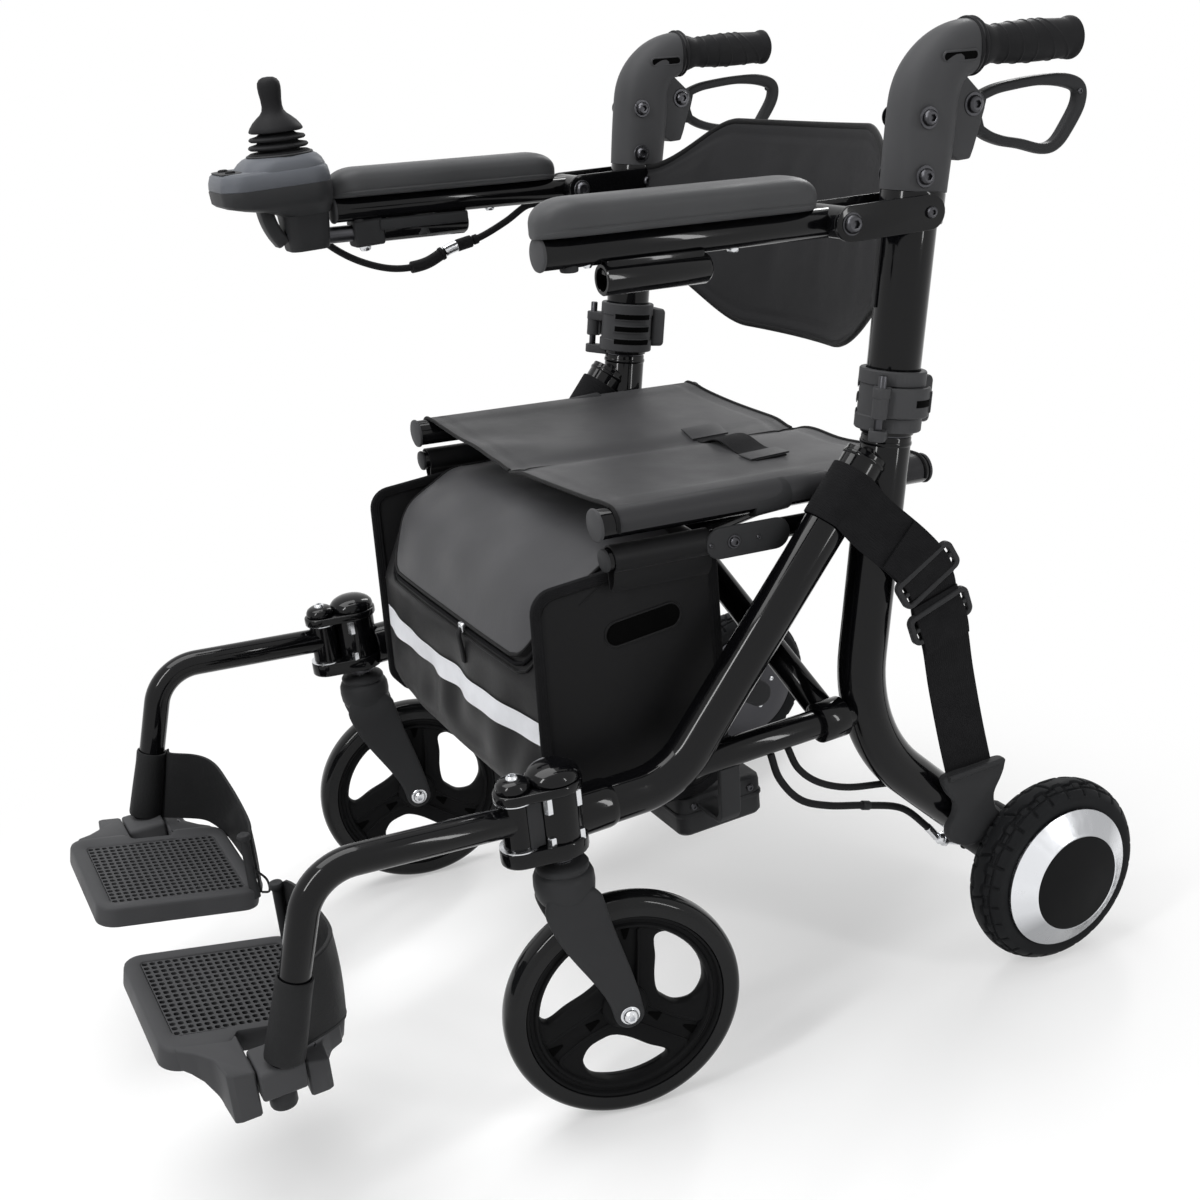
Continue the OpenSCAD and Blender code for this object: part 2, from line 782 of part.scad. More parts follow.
// Padded armrest with a crowned top
module arm_pad() {
    pad_rear = 20;
    length = arm_len - pad_rear + 2;
    turns = [for (a = [0 : 15 : 90]) a];
    ends = [for (a = turns) pad_end * (1 - cos(a))];
    stations = concat(ends, [for (i = [len(ends) - 1 : -1 : 0]) length - ends[i]]);
    color(cloth_black)
        on_arm()
            translate([0, -pad_rear, arm_r + gap])
                skin([
                    for (d = stations)
                        let (
                            near = min(d, length - d, pad_end) / pad_end,
                            swell = sqrt(1 - pow(1 - near, 2))
                        )
                        pad_ring(-d, pad_w / 2 - pad_end * (1 - swell), pad_t - pad_end / 2 * (1 - swell))
                ]);
}

// Swing-away footrest tube, from its pivot knuckle to the footplate's hinge barrel
module footrest_arm() {
    start_z = (plate_lo + plate_lo_t + plate_hi - plate_hi_t) / 2 + 2;
    knuckle_lo = plate_lo + plate_lo_t + gap;
    knuckle_hi = plate_hi - plate_hi_t - gap;
    block = hinge_half - 1;
    color(tube_black)
        difference() {
            union() {
                bent_tube(caster_x, [foot_pivot_y, start_z], foot_bend_at,
                    [foot_y(hinge_z), hinge_z], foot_bend, foot_r);
                translate([caster_x, foot_pivot_y, knuckle_lo])
                    cylinder(h = knuckle_hi - knuckle_lo, r = knuckle_r);
                rod_y(hinge_y - hinge_half, hinge_y + hinge_half, hinge_x, hinge_z, 12);
                translate([hinge_x, hinge_y - block, hinge_z - 12]) cube([28, 2 * block, 24]);
            }
            translate([caster_x, foot_pivot_y, plate_lo])
                cylinder(h = plate_hi - plate_lo, r = foot_pivot_r + fit);
            rod_y(hinge_y - hinge_half - over, hinge_y + hinge_half + over, hinge_x, hinge_z, pin_r + fit);
        }
}

// Flip-up footplate: perforated tray with hinge ears and the heel strap's post
module footplate() {
    rear = plate_front + plate_depth;
    holes_x = 9;
    holes_y = 9;
    rim = 9;
    hole_r = 3;
    recess = 3;
    width = plate_out - plate_in;
    module slab(top, inset) {
        intersection() {
            in_side(plate_in)
                linear_extrude(width)
                    polygon([
                        [plate_front, plate_top(plate_front) + top - plate_t],
                        [plate_front, plate_top(plate_front) + top],
                        [rear, plate_top(rear) + top], [rear, plate_top(rear) + top - plate_t]
                    ]);
            translate([plate_in + inset, plate_front + inset, 0])
                linear_extrude(plate_z + plate_t)
                    round_rect(width - 2 * inset, plate_depth - 2 * inset, 14 - inset / 2);
        }
    }
    color(plastic_black)
        difference() {
            union() {
                slab(0, 0);
                for (y = [hinge_y - hinge_half - gap - ear_t, hinge_y + hinge_half + gap])
                    translate([0, y + ear_t, 0])
                        rotate([90, 0, 0])
                            linear_extrude(ear_t)
                                link_outline([hinge_x, hinge_z], 12, [plate_out - 6, plate_top(y) - 8], 6);
                translate([plate_in + 8, rear - 8, plate_top(rear) - 8]) cylinder(h = 70, r = 4);
            }
            difference() {
                slab(plate_t - recess, rim);
                translate([plate_in + 8, rear - 8, 0]) cylinder(h = plate_z + plate_t, r = 6);
            }
            for (i = [0 : holes_x - 1], j = [0 : holes_y - 1])
                translate([
                    plate_in + rim + 10 + i * (width - 2 * rim - 20) / (holes_x - 1),
                    plate_front + rim + 10 + j * (plate_depth - 2 * rim - 20) / (holes_y - 1),
                    0
                ])
                    cylinder(h = plate_z + plate_t, r = hole_r);
            for (y = [hinge_y - hinge_half - gap - ear_t, hinge_y + hinge_half + gap])
                rod_y(y - over, y + ear_t + over, hinge_x, hinge_z, pin_r + fit);
        }
}

// Hinge pin of a footplate, with its two heads
module footplate_pin() {
    reach = hinge_half + 2 * gap + ear_t;
    color(silver) {
        rod_y(hinge_y - reach - 3, hinge_y + reach + 3, hinge_x, hinge_z, pin_r);
        for (y = [hinge_y - reach - 3, hinge_y + reach])
            rod_y(y, y + 3, hinge_x, hinge_z, 9);
    }
}

// Heel strap: a sleeve round the footrest tube and a band behind the plate
module heel_strap() {
    lo = 184;
    hi = 228;
    band_lo = 168;
    band_hi = 222;
    t = 2.5;
    route = [
        [caster_x - 2, foot_y(hi - 6) + foot_r + 0.5], [plate_out, plate_front + 151],
        [plate_out - 80, plate_front + 159],
        [plate_in + 8, plate_front + plate_depth - 3]
    ];
    color(cloth_black) {
        difference() {
            rod([caster_x, foot_y(lo), lo], [caster_x, foot_y(hi), hi], foot_r + 2.5);
            rod([caster_x, foot_y(lo - 5), lo - 5], [caster_x, foot_y(hi + 5), hi + 5], foot_r + gap);
        }
        translate([0, 0, band_lo])
            linear_extrude(band_hi - band_lo)
                polygon(concat(route, [for (i = [len(route) - 1 : -1 : 0]) route[i] + [0, t]]));
    }
}

// Lap belt: a loop round the front tube and a strap with its buckles down the outside
module seat_belt() {
    half = 23;
    lo = frame_x + leg_r + 0.4;
    hi = lo + 2.5;
    loop_half = 12;
    loop_at = [tube_y(post_z - 57), post_z - 57];
    along = unit(tube_high - tube_low);
    loop_a = loop_at - loop_half * along;
    loop_b = loop_at + loop_half * along;
    hip = [post_y(post_z - 111) + 31.9, post_z - 111];
    side = [post_y(post_z - 169) + 60, post_z - 169];
    route = [loop_at, hip, side, leg_end + [-48, 93], leg_end + [-57, 34]];
    color(cloth_black) {
        difference() {
            rod([frame_x, loop_a[0], loop_a[1]], [frame_x, loop_b[0], loop_b[1]], front_tube_r + 2.3);
            rod([frame_x, loop_a[0] - along[0], loop_a[1] - along[1]],
                [frame_x, loop_b[0] + along[0], loop_b[1] + along[1]], front_tube_r + gap);
        }
        rod_x(frame_x + front_tube_r + 0.6, hi, loop_at[0], loop_at[1], 10);
        in_side(lo)
            linear_extrude(hi - lo)
                polygon(concat(
                    [for (p = route) p - [half, 0]],
                    [for (i = [len(route) - 1 : -1 : 0]) route[i] + [half, 0]]
                ));
    }
    color(plastic_black)
        for (i = [1, 2, 3])
            in_side(lo)
                linear_extrude(8)
                    translate(route[i] - [half + 6, i == 3 ? 18 : 7])
                        round_rect(2 * half + 12, i == 3 ? 36 : 14, 3);
}

module brake_cable() {
    color(rubber_black) swept_cable(brake_route, cable_r);
}

// One tube of the folding cross, with its sleeve on the right brace and the left seat rail
module cross_tube(y) {
    color(tube_black)
        difference() {
            union() {
                rod([-frame_x, y, brace_z], [rail_x, y, rail_h(0)], cross_r);
                rod_y(y - sleeve_len / 2, y + sleeve_len / 2, -frame_x, brace_z, sleeve_r);
                rod([rail_x, rail_front_y, rail_h(rail_front_y)],
                    [rail_x, rail_rear_y, rail_h(rail_rear_y)], rail_r);
            }
            rod_y(y - sleeve_len, y + sleeve_len, -frame_x, brace_z, brace_r + fit);
            rod_y(y - 2 * cross_r, y + 2 * cross_r, 0, cross_pivot_z, cross_bolt_r + fit);
        }
}

module cross_tube_a() {
    place() cross_tube(-cross_gap / 2);
}

module cross_tube_b() {
    place("right") cross_tube(cross_gap / 2);
}

// Pivot bolt where the two cross tubes meet
module cross_bolt() {
    reach = cross_gap / 2 + cross_r + 1.5;
    color(silver)
        place() {
            rod_y(-reach, reach, 0, cross_pivot_z, cross_bolt_r);
            for (y = [-reach - 5, reach])
                rod_y(y, y + 5, 0, cross_pivot_z, 9);
        }
}

// Seat sling: draped over both rails, lower along the fold in its middle
module seat_sling() {
    front_y = rail_front_y + 14;
    rear_y = stub_rear_y - 4;
    edge = rail_r + gap;
    hem = rail_x + 2;
    shelf = rail_x - 32;
    steps = 12;
    across = concat([-hem], [for (i = [-steps : steps]) shelf * i / steps], [hem]);
    lower = [for (x = across) [x, edge - sling_drop(x / shelf)]];
    upper = [for (x = across) [-x, edge + sling_t - sling_drop(x / shelf)]];
    color(cloth_black)
        place()
            translate([0, rear_y, rail_h(rear_y)])
                rotate([-rail_fall, 0, 0])
                    rotate([90, 0, 0])
                        linear_extrude((rear_y - front_y) / cos(rail_fall))
                            polygon(concat(lower, upper));
}

// Back panel: a padded sheet with curved edges, bowed backwards between the posts
module backrest() {
    half = frame_x - cheek_in - cheek_t - gap;
    columns = 24;
    rows = 10;
    color(cloth_black)
        place()
            translate([0, post_y(back_z), back_z])
                rotate([-lean, 0, 0])
                    skin([
                        for (i = [-columns / 2 : columns / 2])
                            let (
                                u = 2 * i / columns,
                                lo = back_edge(u, back_side_lo, back_mid_lo, back_flat_lo),
                                hi = back_edge(u, back_side_hi, back_mid_hi, back_flat_hi),
                                rear = back_bow * (1 - u * u)
                            )
                            concat(
                                [for (k = [0 : rows]) [half * u, rear, lo + (hi - lo) * k / rows]],
                                [
                                    for (k = [rows : -1 : 0])
                                        [
                                            half * u,
                                            rear - back_t - back_puff * (1 - u * u) * sin(180 * k / rows),
                                            lo + (hi - lo) * k / rows
                                        ]
                                ]
                            )
                    ]);
}

// Under-seat bag with a sloping lid, hung between the low rails
module bag() {
    half = low_x - low_r - gap;
    back_y = rail_front_y + 112;
    lid_y = rail_front_y + 18;
    front_y = rail_front_y - 62;
    floor_z = brace_z - 51;
    color(cloth_black)
        place()
            in_side(-half)
                linear_extrude(2 * half)
                    polygon([
                        [back_y, low_h(back_y)], [lid_y, low_h(lid_y)], [lid_y - 20, low_h(lid_y) - 20.8],
                        [front_y + 6, brace_z + 75], [front_y, floor_z + 22], [front_y + 8, floor_z + 4],
                        [back_y - 28, floor_z], [back_y - 6, floor_z + 10]
                    ]);
}

// Battery case hung from the left brace
module battery_pack() {
    size = [90, 86, 40];
    box = [frame_x - 42 - size[0], rail_front_y + 56, brace_z - 95];
    strap = [12, 20, 8];
    lap = 6;
    hook = [frame_x - strap[0] / 2, box[1] + 18, box[2] + 26];
    arm_x = box[0] + size[0] - lap;
    color(plastic_black)
        place() {
            translate(box) linear_extrude(size[2]) round_rect(size[0], size[1], 8);
            translate([arm_x, hook[1], hook[2]]) cube([hook[0] + strap[0] - arm_x, strap[1], strap[2]]);
            translate(hook) cube([strap[0], strap[1], brace_z - brace_r - gap - hook[2]]);
        }
}

// Joystick case: base, raised top, gimbal well, button wells and its rod in the right arm's socket
module joystick_housing() {
    base_z = joy_z - 39;
    half = 42;
    front = joy_y - 66;
    rear = joy_y + 39;
    top_front = joy_y - 41;
    well_r = 24;
    color(plastic_black) {
        place()
            difference() {
                union() {
                    translate([joy_x - half, front, base_z])
                        linear_extrude(joy_step - base_z)
                            round_rect(2 * half, rear - front, 14);
                    translate([joy_x - half + 4, top_front, joy_step - over])
                        linear_extrude(joy_top - joy_step + over)
                            round_rect(2 * half - 8, rear - top_front - 3, 12);
                    translate([joy_x - 16, joy_y - 30, base_z - 35]) cube([32, 56, 37]);
                }
                translate([joy_x, joy_y, joy_z - 14]) cylinder(h = 60, r = well_r);
                rod_x(joy_x - 29, joy_x + 29, joy_y, joy_z, joy_axle_r + fit);
                for (x = [-button_x, button_x])
                    translate([joy_x + x, button_y, joy_step - 6]) cylinder(h = 10, r = button_r + gap);
            }
        place("right")
            on_arm()
                rod_y(-socket_front - 60, -socket_front + socket_len + 32,
                    socket_out, -socket_drop, socket_r);
    }
}

// Cross-shaped gimbal: trunnions along X in the case, a pin along Y for the stick
module joystick_gimbal() {
    color(silver)
        place() {
            rod_x(joy_x - 28, joy_x + 28, joy_y, joy_z, joy_axle_r);
            translate([joy_x - 6.5, joy_y - 6.5, joy_z - 5]) cube([13, 13, 10]);
            rod_y(joy_y - 12, joy_y + 12, joy_x, joy_z, joy_pin_r);
        }
}

// Stick: a clevis on the gimbal's pin, a rod and a waisted knob
module joystick_stick() {
    knob_z = joy_z + 50;
    tip_z = joy_z + 85;
    tip_r = 8;
    color(rubber_black)
        place()
            difference() {
                union() {
                    for (y = [joy_y - 11, joy_y + 7.3])
                        translate([joy_x - 6, y, joy_z - 7]) cube([12, 3.7, 20]);
                    translate([joy_x - 6, joy_y - 11, joy_z + 8]) cube([12, 22, 6]);
                    translate([joy_x, joy_y, joy_z + 10]) cylinder(h = knob_z - joy_z - 8, r = 4.5);
                    translate([joy_x, joy_y, knob_z])
                        cylinder(h = tip_z - tip_r - knob_z, r1 = 12, r2 = tip_r);
                    translate([joy_x, joy_y, tip_z - tip_r]) sphere(tip_r);
                }
                rod_y(joy_y - 13, joy_y + 13, joy_x, joy_z, joy_pin_r + fit);
            }
}

// Pleated boot between the case and the stick
module joystick_boot() {
    pleats = 3;
    rise = 6;
    base = joy_top + gap;
    color(rubber_black)
        place()
            translate([joy_x, joy_y, base])
                rotate_extrude()
                    polygon(concat(
                        [[24.5, 0], [29, 0], [29, 2.5]],
                        [
                            for (i = [0 : pleats - 1])
                                each [[20 - 4 * i, 5.5 + rise * i], [23 - 4.5 * i, 8.5 + rise * i]]
                        ],
                        [[8, 25], [6, 25], [6, 17]]
                    ));
}

// Push button of the joystick panel
module joystick_button(x) {
    color(silver)
        place()
            translate([joy_x + x, button_y, joy_step - 4])
                cylinder(h = 6, r = button_r);
}

module controller_cable() {
    color(rubber_black) place() swept_cable(controller_route, controller_r);
}

for (side = ["right", "left"]) {
    place(side) side_frame();
    place(side) rail_bracket();
    place(side) caster_housing();
    place(side) motor_mount();
    place(side) motor_hub();
    place(side) rear_tyre();
    place(side) upper_post();
    place(side) handle_cover();
    place(side) grip();
    place(side) brake_lever();
    place(side) post_clamp();
    place(side) clamp_lever();
    place(side) arm_tube();
    place(side) arm_pad();
    place(side) footrest_arm();
    place(side) footplate();
    place(side) heel_strap();
    place(side) footplate_pin();
    place(side) seat_belt();
    place(side) brake_cable();
    place_fork(side) caster_fork();
    place_fork(side) front_wheel();
    place_fork(side) front_tyre();
}

cross_tube_a();
cross_tube_b();
cross_bolt();
seat_sling();
backrest();
bag();
battery_pack();
joystick_housing();
joystick_gimbal();
joystick_stick();
joystick_boot();
joystick_button(-button_x);  // joystick_button_1
joystick_button(button_x);  // joystick_button_2
controller_cable();
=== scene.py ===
"""Powered rollator and transport chair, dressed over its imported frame.

Every shape is worked out in millimetres with +Z up and the chair facing -Y. There y runs from the middle of
the wheelbase, and piece() moves the finished shape into the frame, in metres.
"""

import json
import math
from collections import namedtuple
from types import SimpleNamespace

import bmesh
import bpy
import numpy as np
from mathutils import Matrix


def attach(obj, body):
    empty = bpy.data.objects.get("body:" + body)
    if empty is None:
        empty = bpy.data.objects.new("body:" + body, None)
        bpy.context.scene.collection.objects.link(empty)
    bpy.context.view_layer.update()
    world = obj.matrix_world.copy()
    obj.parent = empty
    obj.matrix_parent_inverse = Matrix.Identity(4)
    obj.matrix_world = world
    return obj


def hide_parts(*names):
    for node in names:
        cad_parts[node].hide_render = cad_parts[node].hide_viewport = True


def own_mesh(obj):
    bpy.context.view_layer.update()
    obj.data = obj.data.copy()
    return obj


bl_info = {
    "name": "Rollator Transport Chair",
    "version": (1, 0, 0),
    "blender": (4, 5, 0),
    "location": "View3D > Sidebar > Chair",
    "description": "Dresses the chair's frame with its tubes, mouldings, wheels and cloth",
    "category": "Object",
}

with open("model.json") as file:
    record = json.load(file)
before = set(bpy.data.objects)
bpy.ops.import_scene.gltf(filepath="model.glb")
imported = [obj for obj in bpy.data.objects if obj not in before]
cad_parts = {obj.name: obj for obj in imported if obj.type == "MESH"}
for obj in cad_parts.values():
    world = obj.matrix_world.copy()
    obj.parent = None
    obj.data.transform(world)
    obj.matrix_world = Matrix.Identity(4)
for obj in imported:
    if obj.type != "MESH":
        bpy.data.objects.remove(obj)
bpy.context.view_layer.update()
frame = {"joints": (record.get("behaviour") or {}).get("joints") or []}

MM = 0.001
JOINTS = {joint["name"]: joint for joint in frame["joints"]}
HALF_BASE = 225
MIDDLE = np.array([0, JOINTS["left_rear_wheel_spin"]["pos_m"][1] / MM - HALF_BASE, 0])
SIDES = (("left", 1), ("right", -1))
X, Y, Z = np.eye(3)

Shape = namedtuple("Shape", "verts faces uv material")


def point(*values):
    """A place or a way."""
    return np.array(values)


def joint_at(name):
    """A joint's place in millimetres, with y from the middle of the wheelbase."""
    return np.array(JOINTS[name]["pos_m"]) / MM - MIDDLE


# Places that the frame's joints give
REAR_AXLE = joint_at("left_rear_wheel_spin")
STEM = joint_at("left_caster_swivel")
BRACE = joint_at("left_frame_pivot")
CROSS = joint_at("cross_pivot")
ARM_PIVOT = joint_at("left_arm_flip")
FOOT_PIVOT = joint_at("left_footrest_swing")
HINGE = joint_at("left_footplate_flip")
LEVER_PIN = joint_at("left_brake_squeeze")
CLAMP_PIN = joint_at("left_clamp_open")
STICK = joint_at("joystick_push")
SWIVEL = math.atan2(*JOINTS["left_front_wheel_spin"]["axis"][1::-1])
POST_WAY = np.array(JOINTS["left_post_slide"]["axis"])
FRAME_X = BRACE[0]
FRONT_R = joint_at("left_front_wheel_spin")[2]
REAR_R = REAR_AXLE[2]

# Lines of the frame: the handle post, the seat rails and the low rails
POST_FOOT = point(FRAME_X, 85.4, 535)
RAIL_X = FRAME_X - 35.5
RAIL_FRONT, RAIL_STOP, STUB_REAR = -174, 48, 148
LOW_X = FRAME_X - 32
RAIL_FALL = math.tan(math.radians(4))
TUBE_LOW = point(FRAME_X, STEM[1] + 111, BRACE[2] - 8)
TUBE_HIGH = point(FRAME_X, 65.8, 520)
LEG_END = point(FRAME_X, HALF_BASE - 29, REAR_R + 22)
ARM_TILT = math.radians(3)


def post_point(z):
    """Point of the left handle post's axis at a height."""
    return POST_FOOT + POST_WAY * (z - POST_FOOT[2]) / POST_WAY[2]


def rail_h(y):
    """Height of a seat rail's axis, which falls towards the back."""
    return 505.6 - (np.asarray(y) - RAIL_FRONT) * RAIL_FALL


def low_h(y):
    """Height of a low rail's axis."""
    return rail_h(y) - 29.5


GRIP_CORNER = post_point(835)
GRIP_WAY = point(0, math.cos(math.radians(2)), -math.sin(math.radians(2)))


def grip_at(d):
    """Point of the left grip's axis, d behind the corner of the handle."""
    return GRIP_CORNER + d * GRIP_WAY


def arm_at(x, y, z):
    """Point given from the left armrest's pivot, along its tilted tube."""
    c, s = math.cos(ARM_TILT), math.sin(ARM_TILT)
    return ARM_PIVOT + point(x, y * c + z * s, z * c - y * s)


def foot_at(z):
    """Point of the left footrest's leaning tube at a height."""
    return point(FOOT_PIVOT[0], FOOT_PIVOT[1] - 170 - (313 - z) * math.tan(math.radians(16.4)), z)


# Curves

def unit(v):
    v = np.asarray(v, float)
    return v / np.linalg.norm(v, axis=-1, keepdims=True)


def fillet(points, radius, steps=10):
    """Polyline whose inner corners are arcs that touch both sides radius / tan(half angle) from the corner."""
    points = np.asarray(points, float)
    out = [points[:1]]
    for a, v, b, r in zip(points[:-2], points[1:-1], points[2:], np.broadcast_to(radius, len(points) - 2)):
        u, w = unit(a - v), unit(b - v)
        half = 0.5 * np.arccos(np.clip(u @ w, -1, 1))
        sweep = np.pi - 2 * half
        if sweep < 1e-3:
            out.append(v[None])
            continue
        centre = v + unit(u + w) * r / np.sin(half)
        first = v + u * r / np.tan(half) - centre
        last = v + w * r / np.tan(half) - centre
        t = np.linspace(0, 1, steps + 1)[:, None]
        out.append(centre + (np.sin((1 - t) * sweep) * first + np.sin(t * sweep) * last) / np.sin(sweep))
    out.append(points[-1:])
    return np.concatenate(out)


def fillet_loop(points, radius, steps=6):
    """Closed polyline with arcs for corners."""
    return fillet([points[-1], *points, points[0]], radius, steps)[1:-1]


def spline(points, steps=8, closed=False):
    """Smooth curve through points: Catmull-Rom, the cubic whose slope at a point runs between its neighbours."""
    p = np.asarray(points, float)
    p = np.r_[p[-1:], p, p[:2]] if closed else np.r_[2 * p[:1] - p[1:2], p, 2 * p[-1:] - p[-2:-1]]
    t = np.linspace(0, 1, steps, endpoint=False)[:, None]
    a, b, c, d = (p[i:len(p) - 3 + i, None] for i in range(4))
    curve = 0.5 * (2 * b + (c - a) * t + (2 * a - 5 * b + 4 * c - d) * t ** 2 + (3 * b - a - 3 * c + d) * t ** 3)
    curve = curve.reshape(-1, p.shape[1])
    return curve if closed else np.r_[curve, p[-2:-1]]


def measure(path):
    """Distance run along a path, at each of its points."""
    return np.r_[[0], np.cumsum(np.linalg.norm(np.diff(path, axis=0), axis=1))]


def resample(path, count):
    """The same path with its points spread evenly."""
    run = measure(path)
    at = np.linspace(0, run[-1], count)
    return np.stack([np.interp(at, run, c) for c in np.asarray(path).T], 1)


def ease(t):
    """Step from 0 to 1 with level ends."""
    t = np.clip(t, 0, 1)
    return t * t * (3 - 2 * t)


def full_turn(count):
    return np.linspace(0, 2 * np.pi, count, endpoint=False)


def spokes(angle):
    """Unit vectors (cos, sin) at angles."""
    return np.stack([np.cos(angle), np.sin(angle)], -1)


def wheel_spoke(degrees):
    """Unit vector in a wheel's plane, at an angle from +Y towards +Z."""
    return point(0, *spokes(math.radians(degrees)))


def circle(r, sides=40):
    return r * spokes(full_turn(sides))


def laid(flat, u, v):
    """Flat points laid along two directions."""
    return flat[..., :1] * u + flat[..., 1:] * v


def squarer(v, power):
    """Values between -1 and 1 pushed outwards, which makes a circle boxy: sign(v) * |v| ^ power."""
    return np.sign(v) * np.abs(v) ** power


def ridge(v, at, wide):
    """Soft ridge of height 1: exp(-((v - at) / wide) ^ 2)."""
    return np.exp(-((v - at) / wide) ** 2)


def round_rect(w, h, r, steps=5):
    """Rectangle round the origin with round corners."""
    x, y = w / 2, h / 2
    return fillet_loop([[x, -y], [x, y], [-x, y], [-x, -y]], min(r, 0.499 * min(w, h)), steps)


def link(a, ra, b, rb):
    """Outline of two round ends joined by their outer tangents."""
    a, b = np.asarray(a, float), np.asarray(b, float)
    heading = math.atan2(*(b - a)[::-1])
    lean = math.acos((ra - rb) / np.linalg.norm(b - a))
    far = np.linspace(heading - lean, heading + lean, 14)
    near = np.linspace(heading + lean, heading - lean + 2 * np.pi, 14)
    return np.r_[b + rb * spokes(far), a + ra * spokes(near)]


# Surfaces

def grid_faces(rows, cols, wrap_rows=False, wrap_cols=True):
    """Quads between the neighbours of a grid of points."""
    i = np.arange(rows if wrap_rows else rows - 1)[:, None]
    j = np.arange(cols if wrap_cols else cols - 1)[None, :]
    down, right = (i + 1) % rows, (j + 1) % cols
    quads = np.stack([i * cols + j, i * cols + right, down * cols + right, down * cols + j], -1)
    return quads.reshape(-1, 4).tolist()


def surface(points, material, wrap_rows=False, wrap_cols=True):
    """Grid of points as a shape; its UV map is the distance run along rows and columns, in metres."""
    points = np.asarray(points, float)
    rows, cols = points.shape[:2]
    down = measure(points.mean(1))[:, None] * np.ones(cols)
    along = measure(points[rows // 2])[None] * np.ones((rows, 1))
    uv = np.stack([down, along], -1).reshape(-1, 2) * MM
    return Shape(points.reshape(-1, 3), grid_faces(rows, cols, wrap_rows, wrap_cols), uv, material)


def close_ends(shape, cols):
    """The shape with one face over its first ring of points and one over its last."""
    last = len(shape.verts) - cols
    return shape._replace(faces=shape.faces + [list(range(cols))[::-1], list(range(last, last + cols))])


def carry(path, profile, material, across=X, closed=False):
    """Profile of (side, up) points carried along a path: point = path + side * across + up * (way x across)."""
    path = np.asarray(path, float)
    way = unit(np.roll(path, -1, 0) - np.roll(path, 1, 0) if closed else np.gradient(path, axis=0))
    across = np.broadcast_to(across, path.shape)
    side = unit(across - (across * way).sum(1, keepdims=True) * way)
    up = np.cross(way, side)
    profile = np.asarray(profile, float)
    points = path[:, None] + laid(profile, side[:, None], up[:, None])
    shape = surface(points, material, closed)
    return shape if closed else close_ends(shape, points.shape[1])


def tube(path, radius, material, sides=36, edge=1.0):
    """Round tube along a path; both ends close with an edge rounded by that much."""
    path = np.asarray(path, float)
    radius = np.broadcast_to(radius, len(path))
    first, last = unit(path[1] - path[0]), unit(path[-1] - path[-2])
    start = path[0] + first * edge * np.array([[0], [0], [0.3], [1]])
    stop = path[-1] - last * edge * np.array([[1], [0.3], [0], [0]])
    lip = edge * point(1, 0.3, 0)
    rings = np.r_[[0], radius[0] - lip, radius[1:-1], radius[-1] - lip[::-1], [0]]
    line = np.r_[start, path[1:-1], stop]
    across = np.eye(3)[np.argmin(np.abs(path[-1] - path[0]))]
    step = np.r_[[first] * 4, unit(np.gradient(path, axis=0))[1:-1], [last] * 4]
    side = unit(across - (across * step).sum(1, keepdims=True) * step)
    up = np.cross(step, side)
    spoke = laid(circle(1, sides), side[:, None], up[:, None])
    return surface(line[:, None] + rings[:, None, None] * spoke, material)


def around(axis, sides):
    """The unit axis, and a ring of unit vectors square to it."""
    axis = unit(axis)
    e1 = unit(np.cross(axis, X if abs(axis[0]) < 0.9 else Y))
    return axis, laid(circle(1, sides), e1, np.cross(axis, e1))


def lathe(profile, origin, axis, material, sides=64):
    """Profile of (radius, height) turned round an axis."""
    profile = np.asarray(profile, float)
    axis, spoke = around(axis, sides)
    return surface(origin + profile[:, 1, None, None] * axis + profile[:, 0, None, None] * spoke, material)


def both(half):
    """Profile that is the same above and below: the lower half's points, then their mirror images."""
    return np.r_[half, np.array(half)[::-1] * [1, -1]]


def rounded(outline, edge):
    """Rings of a plate's rounded edges: the outline shrinks by edge * (1 - sin a) at depth edge * (1 - cos a).

    Gives the rings from the lower face to the upper one, and the depths for one face.
    """
    ahead = np.roll(outline, -1, 0)
    along = unit(ahead - np.roll(outline, 1, 0))
    area = np.sum(outline[:, 0] * ahead[:, 1] - outline[:, 1] * ahead[:, 0])
    inward = np.sign(area) * np.stack([-along[:, 1], along[:, 0]], 1)
    a = np.linspace(0, np.pi / 2, 4)
    inset = edge * (1 - np.sin(a))
    return outline + np.r_[inset, inset[::-1]][:, None, None] * inward, edge * (1 - np.cos(a))


def slab(outline, thick, origin, u, v, material, edge):
    """Flat plate with rounded edges, drawn along u and v and raised by its thickness along u x v."""
    flat, drop = rounded(np.asarray(outline, float), edge)
    level = np.r_[drop, thick - drop[::-1]][:, None, None]
    return close_ends(surface(origin + laid(flat, u, v) + level * np.cross(u, v), material), len(outline))


def hewn(outline, low, high, material, edge=2.0):
    """Upright block: a plan outline carried from one height function of (x, y) to another, with rounded edges."""
    flat, drop = rounded(outline, edge)
    level = np.r_[low(*outline.T) + drop[:, None], high(*outline.T) - drop[::-1, None]]
    return close_ends(surface(np.concatenate([flat, level[..., None]], -1), material), len(outline))


def side_slab(outline, x0, x1, material, edge):
    """Plate drawn in (y, z), between two planes of constant x."""
    return slab(outline, x1 - x0, X * x0, Y, Z, material, edge)


